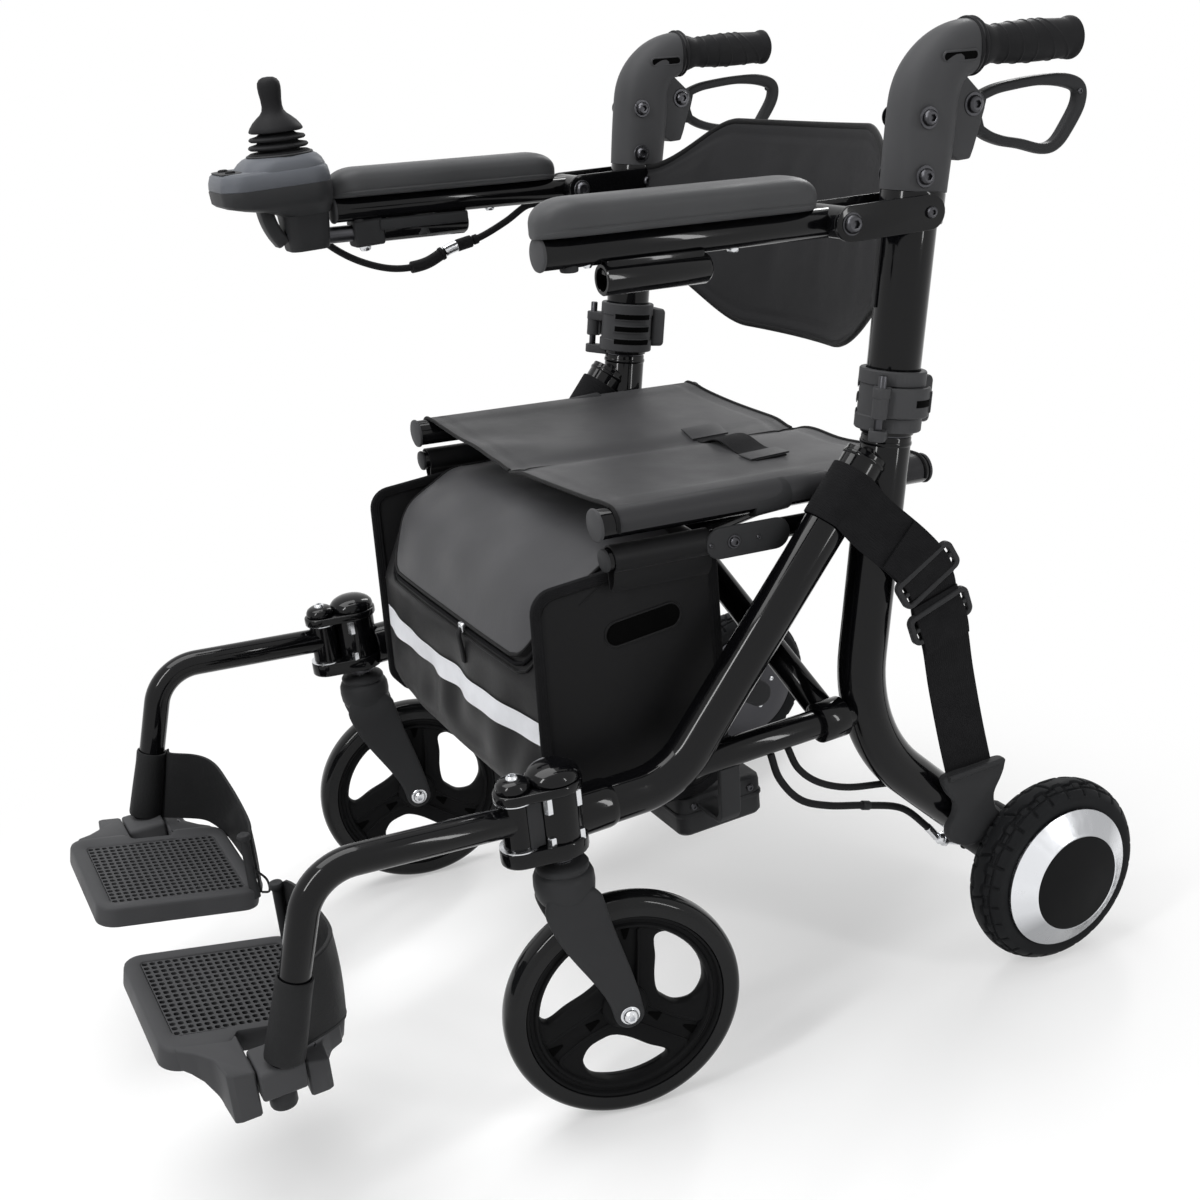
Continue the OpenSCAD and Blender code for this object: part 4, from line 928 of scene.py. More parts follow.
class CHAIR_OT_clamps(ChairOperator):
    """Make the clamp collars at the feet of the posts and their cam levers"""
    bl_idname = "chair.clamps"
    bl_label = "Post Clamps"

    def make(self, size):
        foot, up = post_point(535) + 4 * POST_WAY, POST_WAY
        r = size.post_r + 5.6
        out = unit(np.cross(X, up))
        at = lambda x, y, z: foot + x * X - y * out + z * up
        ring = [[r - 5, 0], [r - 0.8, 0], [r, 1], [r, 11.5], [r - 1.4, 12.5], [r - 1.4, 37.5], [r, 38.5], [r, 49],
                [r - 0.8, 50], [r - 5, 50]]
        shapes = [lathe(ring, foot, up, "satin", 80)]
        for z in (10.5, 24, 37):
            # A near-black strip, framed by a satin one, paints the shade of each groove.
            shapes += [self.arc(at, r - 0.4, 150, 235, z, 5.6, 0.9, "void"),
                       self.arc(at, r - 0.5, 146, 239, z, 8.2, 0.7, "satin")]
        shapes += [slab(round_rect(26, 40, 5), 15, at(-5, r + 10, 25), X, up, "satin", 3),
                   bolt(at(8.2, r + 3, 24), X, 2.6, 1.2, "steel")]
        pin = CLAMP_PIN[0] - FRAME_X, -27.9
        ear = link([10, -16], 8, pin, 7) * [1, -1]
        shapes += [slab(ear, 9, at(0, 0, z), X, out, "satin", 1.2) for z in (3, 38)]
        shapes.append(tube([at(*pin, 2), at(*pin, 48)], 3.5, "dark_steel", 24))
        pair("post_clamp", shapes, "post")
        band = [self.arc(at, r + 2.5, -53, 56, 25, 25, 4.2, "satin"),
                lathe([[0, 0], [5.6, 0], [6.5, 0.9], [6.5, 24.1], [5.6, 25], [0, 25]], at(*pin, 12.5), up, "satin", 36),
                self.arc(at, r + 4.9, 44, 56, 25, 18, 2.4, "satin"),
                # A near-black strip on the band paints the shade of its slot.
                self.arc(at, r + 4.6, 4, 40, 25, 6, 0.5, "void")]
        pair("clamp_lever", band, "clamp")

    def arc(self, at, r, first, last, z, high, thick, material):
        """Flat band bent round the post between two angles."""
        turn = np.radians(np.linspace(first, last, 40))
        path = np.array([at(r * math.cos(t), r * math.sin(t), z) for t in turn])
        return carry(path, round_rect(high, thick, min(high, thick) * 0.45, 4), material, POST_WAY)


class CHAIR_OT_armrests(ChairOperator):
    """Make the armrest tubes and their pads"""
    bl_idname = "chair.armrests"
    bl_label = "Armrests"

    def make(self, size):
        r = size.arm_r
        way = unit(arm_at(0, -1, 0) - arm_at(0, 0, 0))
        up = unit(arm_at(0, 0, 1) - arm_at(0, 0, 0))
        socket = [[8.05, 54], [8.05, 1], [9, 0], [11.2, 0], [12, 0.8], [12, 87], [10, 90], [0, 90]]
        shapes = [
            tube([arm_at(0, 0, 0), arm_at(0, -255, 0)], r, "paint", 40),
            end_cap(arm_at(0, -255, 0), way, r),
            lathe(both([[0, -22], [12.2, -22], [13, -21]]), ARM_PIVOT, X, "paint", 40),
            lathe(socket, arm_at(4, -208, -22.5), -way, "paint", 48),
            # Near-black lining of the socket's bore: painted shade.
            lathe([[8.05, 0], [8.05, 53], [0, 53]], arm_at(4, -208, -22.5), -way, "void", 40),
            slab(round_rect(17, 84, 4), 12, arm_at(3, -164, -20), X, -way, "paint", 1.5),
            tube([arm_at(0, -232, -9), arm_at(0, -232, -15)], 7, "moulding", 24, 1.5),
            bolt(arm_at(2, -218, -9), -up, 4, 4, "steel"),
            bolt(arm_at(0, -92, -11), -up, 5, 3.4, "steel"),
        ]
        pair("arm_tube", shapes, "arm")
        for made in pair("arm_pad", self.pad(size, up), "arm"):
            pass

    def pad(self, size, up):
        """Pad: squared ovals along the tube, drawn in at both ends and towards the base, with a seam bead."""
        long, end = 240, 30
        turn = np.linspace(0, np.pi / 2, 14)
        ends = end * (1 - np.cos(turn))
        d = np.r_[[0], ends, np.linspace(ends[-1], long - ends[-1], 30)[1:-1], long - ends[::-1], [long]]
        near = np.clip(np.minimum(d, long - d) / end, 0, 1)
        swell = np.sqrt(1 - (1 - near) ** 2)
        half = size.pad_w / 2 * (0.12 + 0.88 * swell)
        high = size.pad_t - 18 * (1 - swell)
        half[[0, -1]], high[[0, -1]] = 0, 8
        a = full_turn(56)
        boxy = np.where(np.sin(a) > 0, 0.72, 0.5)
        rise = (1 + squarer(np.sin(a), boxy)) / 2
        bead = 1 + 0.035 * ridge(rise, 0.2, 0.035) - 0.03 * ridge(rise, 0.27, 0.03)
        x = half[:, None] * squarer(np.cos(a), boxy) * (1 - 0.07 * (1 - rise)) * bead
        z = np.maximum(high[:, None] * rise, 0) + 11
        base = np.array([arm_at(0, -20 - k, 0) for k in d])
        held = np.tile(rise < 0.28, (len(d), 1))
        held[[0, 1, -2, -1]] = True
        points = base[:, None] + x[..., None] * X + z[..., None] * up
        # The pad's finish is a lighter copy of the leather: painted sheen.
        return [inflate(surface(points, "pad"), held.ravel(), 3)]


class CHAIR_OT_casters(ChairOperator):
    """Make the caster housings, the forks and the front wheels"""
    bl_idname = "chair.casters"
    bl_label = "Casters"

    axle = point(0, 38, FRONT_R)

    def make(self, size):
        self.housings()
        for side, sign in SIDES:
            at = STEM * point(sign, 1, 0)
            dress(f"caster_fork_{side}", swivelled(self.fork(size), at), f"{side}_caster")
            dress(f"front_wheel_{side}", swivelled(self.rim(size), at), f"{side}_front_wheel")
            dress(f"front_tyre_{side}", swivelled(self.tyre(size), at), f"{side}_front_wheel")

    def housings(self):
        stem, foot = STEM[:2], FOOT_PIVOT[:2]
        plan = link(stem, 24, foot, 17)
        shapes = [slab(plan, 14, Z * 262, X, Y, "paint", 2), slab(plan, 8, Z * 318, X, Y, "paint", 2)]
        base = point(*stem, 262)
        barrel = [[18, 0], [20.6, 1], [21, 3], [21, 62], [20, 64]]
        dome = [[12, 64], [20.6, 64], [22.2, 65], [22.4, 67], [21.4, 70], [18.6, 73], [14, 75.6], [8, 77.4], [0, 78]]
        shapes += [lathe(barrel, base, Z, "paint"), lathe(dome, base, Z, "paint")]
        pivot = point(*foot, 262)
        small = [[6, 64], [13.6, 64], [14.4, 65.2], [14.2, 68], [12.6, 71], [9.4, 73], [5, 73.6], [0, 73.6]]
        shapes += [lathe(small, pivot, Z, "paint"), bolt(pivot + 72.6 * Z, Z, 5.2, 3.6, "steel"),
                   lathe([[13, 55.6], [16.6, 55.2], [16.8, 56.2], [13, 56.4]], pivot, Z, "steel"),
                   lathe([[13, 13.7], [16.6, 13.9], [16.8, 15], [13, 15.4]], pivot, Z, "steel")]
        collar = [[19.1, 14], [20.6, 14.4], [20.9, 16], [20.9, 46], [20.2, 50], [19.1, 52.4]]
        shapes.append(lathe(collar, [FRAME_X, stem[1], TUBE_LOW[2]], Y, "paint"))
        for turn in (-38, 40, 205):
            way = point(*spokes(math.radians(turn)), 0)
            for z, high in ((274, 9), (304, 14)):
                nut = [[0, 0], [3.6, 0], [4, 0.5], [4, high - 0.5], [3.4, high], [0, high]]
                shapes.append(lathe(nut, point(*stem, z) + 20.4 * way, Z, "steel", 6))
        ahead, behind = stem[1] - 30, stem[1] - 17
        web = fillet_loop([[ahead, 277], [behind, 277], [behind, 317], [ahead, 317]], 1, 3)
        shapes.append(side_slab(web, FOOT_PIVOT[0] + 5, FOOT_PIVOT[0] + 14, "moulding", 1))
        pair("caster_housing", shapes, "frame")

    def fork(self, size):
        """Fork: a round crown and two blades whose oval sections narrow down to the axle."""
        inner = size.front_w / 2 + 2.2
        crown = [[0, 252], [15, 252], [17, 251], [20.6, 249.6], [22, 247.6], [22, 245.4], [20.8, 244.4], [21, 243.4],
                 [23.6, 241.8], [25.2, 238], [25.6, 231], [24.8, 223], [22, 217], [15, 213.6], [0, 212.6]]
        shapes = [lathe(crown, np.zeros(3), Z, "moulding"), tube([Z * 250, Z * 261], 10, "steel", 32),
                  tube([Z * 255, Z * 258.6], 14, "dark_steel", 32, 0.8)]
        t = np.linspace(0, 1, 44)
        y = self.axle[1] * ease(t * 0.94 + 0.03) - 2 * np.sin(np.pi * t)
        z = 236 + (FRONT_R - 236) * t
        mid = 12 + (inner - 7.5) * ease(t / 0.22) - 1.5 * ease((t - 0.3) / 0.7)
        wide = 16 + 9 * ease(t / 0.16) - 12 * ease((t - 0.1) / 0.9)
        thick = 8.5 - 4.7 * ease(t / 0.5)
        oval = squarer(circle(1, 48), (1 - 0.4 * ease(t / 0.3))[:, None, None])
        profile = oval * np.stack([thick, wide], 1)[:, None]
        side = mid[-1] * X
        tip = both([[0, -3.7], [11.6, -3.7], [12.8, -2.4]])
        for way in (-1, 1):
            shapes += [carry(np.stack([way * mid, y, z], 1), profile, "moulding"),
                       lathe(tip, self.axle + way * side, X, "moulding", 48),
                       bolt(self.axle + way * (side + 3.6 * X), way * X, 6.6, 4.6, "steel", 8.4)]
        return shapes + [tube([self.axle - side, self.axle + side], 6, "steel", 24)]

    def rim(self, size):
        """Wheel with three kidney openings: for each opening, rings run from its edge out to its third of the disc."""
        centre = self.axle
        rim_r, half = FRONT_R - 18, size.front_w / 2 - 2
        kidney = spline([[29.8, -8.5], [31.2, -18], [37.8, -29.6], [51.4, -34.7], [64, -29], [70.5, -18.9], [74, -3.9],
                         [72, 19.4], [64.7, 35.9], [53.4, 38.8], [44.9, 21.9], [35.5, 6.3]], 8, True)
        seat = point(55, 0)
        ray = unit(kidney - seat)
        border = seat + ray * self.third_reach(seat, ray, np.radians(60), rim_r - 2)[:, None]
        t = np.r_[[0, 0.03, 0.08, 0.16, 0.3], np.linspace(0.3, 1, 12)[1:]]
        lip = 6.6 - 2.6 * ease((t - 0.55) / 0.2)
        lip[:4] = [0, 3.8, 5.6, 6.4]
        flat = kidney + t[:, None, None] * (border - kidney)
        bead = kidney + 0.6 * (border - kidney)
        shapes = []
        for turn in (24, 144, 264):
            along = wheel_spoke(turn)
            across = np.cross(X, along)
            for way in (-1, 1):
                points = centre + laid(flat, along, across) + way * lip[:, None, None] * X
                line = centre + laid(bead, along, across) + way * 5.6 * X
                shapes += [surface(points, "wheel"), carry(line, circle(1.5, 10), "wheel", X, True)]
        ring = both([[rim_r - 12, -3], [rim_r - 11.4, -half + 3.6], [rim_r - 10, -half + 1.6], [rim_r - 8, -half + 1.2],
                     [rim_r - 6.4, -half + 3.4], [rim_r - 3.4, -half + 3.4], [rim_r - 2, -half + 0.6], [rim_r, -half]])
        hub = both([[0, -15], [14, -15], [16, -13.6], [20, -9]])
        shapes += [lathe(ring, centre, X, "wheel", 120), lathe(hub, centre, X, "wheel")]
        corner = fillet_loop([[-7, -1], [5, -4.5], [5, 4.5], [-7, 1]], 0.8, 3)
        for turn in (84, 204, 324):
            way = wheel_spoke(turn)
            swing = np.cross(X, way)
            for far in (32, 69):
                # Small near-black triangles on both faces of the disc: painted shade.
                shapes += [slab(corner, 0.4, centre + far * way + x * X, way, swing, "void", 0.1) for x in (-4.6, 4.2)]
        return shapes

    def third_reach(self, seat, ray, third, rim_r):
        """Distance from a point to the edge of its third of the disc, along each ray."""
        b = ray @ seat
        reach = -b + np.sqrt(b * b - seat @ seat + rim_r * rim_r)
        for way in (-third, third):
            normal = point(-math.sin(way), math.cos(way))
            pace = ray @ normal
            level = np.abs(pace) <= 1e-6
            hit = np.where(level, 1e9, -(seat @ normal) / np.where(level, 1, pace))
            reach = np.where(hit > 0, np.minimum(reach, hit), reach)
        return reach

    def tyre(self, size):
        """Solid tyre: a glossy band with round shoulders."""
        r, w = FRONT_R, size.front_w / 2
        turn = np.radians(np.linspace(-90, 90, 25))
        lean = np.sin(turn)
        crown = np.stack([r - 9 + 9 * np.cos(turn), (w - 7) * squarer(lean, 0.6) + 7 * lean], 1)
        wall = [[r - 18, -w + 4], [r - 17, -w + 1]]
        profile = np.r_[wall, crown, [[r - 17, w - 1], [r - 18, w - 4]], wall[:1]]
        return [lathe(profile, self.axle, X, "polyurethane", 144)]


class CHAIR_OT_rear_wheels(ChairOperator):
    """Make the hub motors, their tyres and the brackets that hold them"""
    bl_idname = "chair.rear_wheels"
    bl_label = "Rear Wheels"

    def make(self, size):
        half = size.rear_w / 2
        drum = REAR_R - 24
        cone = [[drum - 2, half - 3], [drum + 1.6, half - 1], [drum + 2.4, half + 0.8], [drum + 2.2, half + 2.4],
                [drum + 0.6, half + 3.2], [drum - 17, half + 13.4], [drum - 18.2, half + 14.6],
                [drum - 19.4, half + 14.8], [drum - 20, half + 14]]
        cap = [[drum - 20, half + 13.4], [drum - 20, half + 14.8], [drum - 21, half + 15.5], [0, half + 15.9]]
        inner = [[drum, half - 3], [drum, -half + 1], [drum - 1, -half + 0.2], [48, -half - 0.6], [44, -half - 0.2],
                 [22, -half - 0.6], [20, -half + 0.4], [9, -half + 0.4]]
        shapes = [lathe(cone, REAR_AXLE, X, "brushed", 144), lathe(cap, REAR_AXLE, X, "cap", 96),
                  lathe(inner, REAR_AXLE, X, "dark_steel", 96)]
        shapes += [bolt(REAR_AXLE + 36 * wheel_spoke(turn) - (half + 0.2) * X, -X, 3, 1.6, "steel")
                   for turn in range(0, 360, 60)]
        pair("motor_hub", shapes, "rear_wheel")
        pair("rear_tyre", [self.tyre(size)], "rear_wheel")
        self.mounts()

    def tyre(self, size):
        """Block tread: radius = round section, less a groove where the zigzag and cross cuts run."""
        half, shoulder = size.rear_w / 2, 13
        cols, rows, pitch = 560, 56, 26
        a, v = full_turn(cols), np.linspace(-1, 1, rows)[:, None]
        lean, side = np.radians(92 * v), np.abs(v)
        x = (half - shoulder) * np.clip(v * 1.25, -1, 1) + shoulder * np.sin(lean)
        r = REAR_R - shoulder + shoulder * np.cos(lean) - 0.8 * v * v
        block = a * pitch / (2 * np.pi)
        wave = np.abs(block % 1 - 0.5) * 2
        step = np.abs(block / 2 % 1 - 0.5) * 2
        trench = lambda d, w: np.exp(-(d / w) ** 4)
        middle = trench(side - 0.2 - 0.1 * ease(wave * 2 - 0.5), 0.05)
        edge = trench(side - 0.47 - 0.04 * step, 0.034)
        cuts = trench((block + 0.22 * np.sign(v)) % 1 - 0.5, 0.07) * ((side > 0.22) & (side < 0.8))
        centre_cut = trench((block / 2 + 0.3 * v) % 1 - 0.5, 0.03) * (side < 0.24)
        fine = trench(block * 2 % 1 - 0.5, 0.06) * (np.abs(side - 0.36) < 0.1) * 0.4
        depth = 2.8 * np.clip(middle + edge * 0.6 + cuts * 0.9 + centre_cut + fine, 0, 1)
        tread = [r - depth * np.cos(lean).clip(0.15), x - depth * np.sin(lean)]
        wall = np.array([[REAR_R - 24, -half + 4], [REAR_R - 23, -half + 1.4], [REAR_R - 19, -half + 0.4]])
        ring = lambda rows: np.tile(rows.T[..., None], cols)
        r, x = np.concatenate([ring(wall), tread, ring(wall[::-1] * [1, -1]), ring(wall[:1])], 1)
        return surface(REAR_AXLE + np.stack([x, r * np.cos(a), r * np.sin(a)], -1), "tyre")

    def mounts(self):
        back = wheel_spoke(135)
        plate = link((LEG_END - 6 * back)[1:], 17, REAR_AXLE[1:], 16)
        hood = fillet_loop([[178, 128], [206, 146], [226, 124], [214, 104], [190, 100]], 7, 5)
        shapes = [tube([LEG_END + 38 * back, LEG_END - 9 * back], 25, "moulding", 56, 3),
                  side_slab(plate, FRAME_X - 6, FRAME_X + 18, "moulding", 3),
                  tube([[FRAME_X + 10, *REAR_AXLE[1:]], [REAR_AXLE[0] - 21, *REAR_AXLE[1:]]], 13, "dark_steel", 40),
                  tube([REAR_AXLE - 40 * X, REAR_AXLE + 4 * X], 8, "steel", 32),
                  side_slab(hood, FRAME_X - 14, FRAME_X + 21, "moulding", 5)]
        shapes += [bolt([FRAME_X + 20.6, y, z], X, 3, 2, "steel") for y, z in ((197, 133), (216, 119), (190, 108))]
        adjuster = point(214, 143, 121.0)
        way = point(FRAME_X - 4, LEG_END[1] - 10, LEG_END[2] - 6) - adjuster
        screw = [[0, 0], [5.4, 0], [6, 1], [6, 5], [7.2, 5.4], [7.2, 9], [4.6, 9.4], [4.6, 26]]
        sheath = [[7, 26.4], [7.6, 28], [7, 30], [7.6, 32], [7, 34], [7.6, 36], [7, 38], [0, 39]]
        shapes += [lathe(screw, adjuster, way, "steel", 32), lathe(sheath, adjuster, way, "rubber", 32)]
        pair("motor_mount", shapes, "frame")


class CHAIR_OT_footrests(ChairOperator):
    """Make the footrest tubes, the footplates, their pins and the heel straps"""
    bl_idname = "chair.footrests"
    bl_label = "Footrests"

    front, fall = -587.0, 0.2177

    def make(self, size):
        r = size.foot_r
        path = fillet([[*FOOT_PIVOT[:2], 299], foot_at(313), foot_at(HINGE[2] + 15)], 44, 16)
        knuckle = [[0, 0.4], [12, 0.4], [13.4, 1.6], [13.4, 39.8], [12, 41], [0, 41]]
        low = foot_at(HINGE[2])
        block = fillet_loop([[HINGE[0] - 12, HINGE[2] - 9], [low[0] + 10, HINGE[2] - 9],
                             [low[0] + 12, HINGE[2] + 18], [HINGE[0] - 12, HINGE[2] + 18]], 5, 5)
        stub = point(low[0] - 2, HINGE[1] - 1, HINGE[2] - 4)
        shapes = [
            tube(path, r, "paint", 44, 1.5),
            lathe(knuckle, [*FOOT_PIVOT[:2], 276], Z, "paint", 48),
            slab(block, 36, HINGE * Y + 18 * Y, X, Z, "satin", 2.5),
            tube([stub, stub - 19 * Z], r - 1.5, "moulding", 40, 2.5),
        ]
        pair("footrest_arm", shapes, "footrest")
        pair("footplate", self.plate(), "footplate")
        head = [[0, 0], [8.4, 0], [9, 0.6], [9, 2], [8, 3], [4.6, 3], [4.2, 1.4], [0, 1.4]]
        pin = [tube([HINGE - 35 * Y, HINGE + 34 * Y], 6, "dark_steel", 28)]
        pin += [lathe(head, HINGE + way * 31.4 * Y, way * Y, "dark_steel", 40) for way in (-1, 1)]
        pair("footplate_pin", pin, "footrest")
        for made in pair("heel_strap", self.strap(r), "footrest"):
            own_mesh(made)

    def tray(self, y):
        """Height of the plate's top, which falls towards the back."""
        return 180 - (y - self.front) * self.fall

    def plate(self):
        x0, x1, y0, y1 = 44.0, 204.0, self.front, -440.0
        mid = point((x0 + x1) / 2, (y0 + y1) / 2)
        slope = unit(point(0, 1, -self.fall))
        up = np.cross(X, slope)
        deep = (y1 - y0) / slope[1]
        origin = point(*mid, self.tray(mid[1]))
        notch, hinge = x1 - 14, HINGE[1]
        corners = [[x0, y0], [x1, y0], [x1, hinge - 25], [notch, hinge - 17], [notch, hinge + 17], [x1, hinge + 25],
                   [x1, y1], [x0, y1]]
        outline = fillet_loop((corners - mid) / [1, slope[1]], [18, 18, 3, 3, 3, 3, 18, 18], 7)
        wide = notch - 10 - (x0 + 14)
        shift = point(x0 + 14 + wide / 2 - mid[0], 0)
        inside = round_rect(wide, deep - 28, 6, 6)
        field = origin + shift[0] * X
        post = point(x0 + 8, y1 - 8, self.tray(y1) - 8)
        rod = [[0, 0], [5.4, 0], [5.2, 8], [4.4, 10], [4.4, 60], [6, 60.6], [6.4, 62], [6.4, 64.4], [5.6, 66],
               [3, 66.4], [0, 65]]
        loop = spline([post + [-4, 3, 30], post + [-7, 12, 18], post + [-5, 13, 4], post + [-3, 6, 4]], 8)
        return [
            self.frame_ring(outline, point(wide, deep - 28) / 2, shift, origin, slope, up),
            self.grid(inside, field - 1.6 * up, slope, up),
            # Near-black sheet under the perforated floor: painted shade seen through its holes.
            slab(inside, 1, field - 13 * up, X, slope, "void", 0.2),
            *self.blocks(x1),
            lathe(rod, post, Z, "moulding", 32),
            tube(loop, 1.1, "rubber", 12, 0.3),
        ]

    def blocks(self, x1):
        """Hinge blocks: each flares out of the plate's side in plan, and its underside curves down to the block."""
        out = HINGE[0] + 24
        ahead, behind = HINGE[1] - 19.4, HINGE[1] + 19.4
        front = [[x1 - 10, -580], [x1 - 0.5, -577], [x1 + 7, -565], [x1 + 19, -554], [out - 2, -551], [out, -546],
                 [out, -531], [out - 2, ahead], [x1 - 10, ahead]]
        rear = [[x1 - 10, behind], [out - 2, behind], [out, -489], [out, -476], [out - 2, -472], [x1 + 19, -470],
                [x1 + 7, -461], [x1 - 0.5, -450], [x1 - 10, -447]]
        front = fillet_loop(front, [2, 4, 18, 14, 2, 2, 1, 1, 1], 7)
        rear = fillet_loop(rear, [1, 1, 1, 2, 2, 12, 14, 4, 2], 7)
        low = lambda x, y: 125 + (self.tray(y) - 144) * (1 - ease((x - x1 + 2) / 34))
        high = lambda x, y: self.tray(y) - 0.6 - 1.5 * ease((x - x1 - 8) / 20)
        hole = point(HINGE[0] - 2, -551.6, HINGE[2] + 11)
        lip = [[5.4, -0.4], [5.5, 0.9], [6.3, 1.2], [7.2, 0.6], [7.4, -0.4]]
        return [hewn(front, low, high, "satin"), hewn(rear, low, high, "satin"),
                # A near-black disc in the pin hole paints its shade.
                lathe([[0, 0], [5.6, 0], [5.6, 0.6]], hole, -Y, "void", 40), lathe(lip, hole, -Y, "satin", 40)]

    def frame_ring(self, outer, half, shift, origin, slope, up):
        """Rim of the tray: rings from the inner edge over the rounded top edge and down the skirt.

        Each inner point is the point of the round-cornered field that lies nearest to its outer point.
        """
        outer = resample(np.r_[outer, outer[:1]], 241)[:-1]
        core = np.clip(outer - shift, 6 - half, half - 6)
        inner = shift + core + 6 * unit(outer - shift - core)
        rows = np.array([(0, -12), (0, -2.4), (0.06, -1), (0.12, -0.3), (0.7, 0), (0.88, -0.4), (0.96, -1.6), (1, -4),
                         (1, -17), (0.97, -19), (0.8, -19), (0.5, -14), (0, -12)])[:, :, None, None]
        flat = inner + (outer - inner) * rows[:, 0]
        return surface(origin + laid(flat, X, slope) + rows[:, 1] * up, "satin")

    def grid(self, inside, origin, slope, up):
        """Perforated floor: each square cell is a ring of eight quads round a rounded hole, with walls below."""
        nx, ny = 17, 19
        wide, deep = np.ptp(inside, axis=0)
        cell = point(wide / nx, deep / ny)
        ring = circle(1, 8)
        square = ring / np.abs(ring).max(1, keepdims=True) / 2
        hole = squarer(ring, 0.7) * [0.35, 0.39]
        rows = np.stack([np.c_[square, np.zeros(8)], np.c_[hole, np.zeros(8)], np.c_[hole, np.full(8, -5.0)]])
        i, j = np.meshgrid(np.arange(nx), np.arange(ny), indexing="ij")
        corner = np.stack([i.ravel() + 0.5 - nx / 2, j.ravel() + 0.5 - ny / 2], 1)
        flat = (corner[:, None, None] + rows[None, :, :, :2]) * cell
        points = origin + laid(flat, X, slope) + rows[None, ..., 2:] * up
        base = np.array(grid_faces(3, 8))
        faces = (base[None] + 24 * np.arange(nx * ny)[:, None, None]).reshape(-1, 4).tolist()
        verts = points.reshape(-1, 3)
        return Shape(verts, faces, verts[:, :2] * MM, "satin")

    def strap(self, r):
        """Heel strap: a flared sleeve on the tube, and a band round the heel whose top edge sinks to the post."""
        lo, hi = foot_at(180), foot_at(230)
        sleeve = [[r + 0.6, -16.5], [r + 3.4, -16], [r + 3.8, -14], [r + 3.2, 10], [r + 2.2, 40], [r + 2.4, 50],
                  [r + 2, 51.6], [r + 0.6, 51.8]]
        shapes = [lathe(sleeve, lo, hi - lo, "leather", 56)]
        tie = 215
        route = spline([foot_at(tie)[:2] + [-5, r + 1], [227, -474], [208, -452], [182, -440], [140, -437.5],
                        [96, -437.5], [68, -439], [51, -443.5]], 10)
        t = np.linspace(0, 1, len(route))
        top = 229 - 6 * t - 16 * ease((t - 0.3) / 0.7) - 4 * ease((t - 0.94) / 0.06)
        bottom = self.tray(route[:, 1]) + 3 - 9 * ease((t - 0.25) / 0.25)
        v = np.linspace(0, 1, 14)
        height = bottom[:, None] + (top - bottom)[:, None] * v
        lean = 2 * np.sin(np.pi * v)[None] * np.sin(np.pi * t)[:, None]
        way = unit(np.gradient(route, axis=0))
        out = np.stack([-way[:, 1], way[:, 0]], 1)
        out *= np.sign(out[:, 1:].sum())
        tilt = (hi - lo)[1] / (hi - lo)[2] * (1 - ease(t / 0.3))
        rows = []
        for off in (0, 2.4):
            flat = route[:, None] + out[:, None] * (lean + off)[..., None]
            flat[..., 1] += (height - tie) * tilt[:, None]
            rows.append(np.concatenate([flat, height[..., None]], -1))
        loop = np.concatenate([rows[0], rows[1][:, ::-1]], 1)
        shapes.append(close_ends(surface(loop, "leather"), loop.shape[1]))
        for level, offset in ((top, -2.2), (bottom, 2.2)):
            edge = np.c_[route + out * 2.5, level + offset]
            edge[:, 1] += (edge[:, 2] - tie) * tilt
            shapes.append(tube(edge, 0.45, "leather", 8, 0.1))
        return shapes


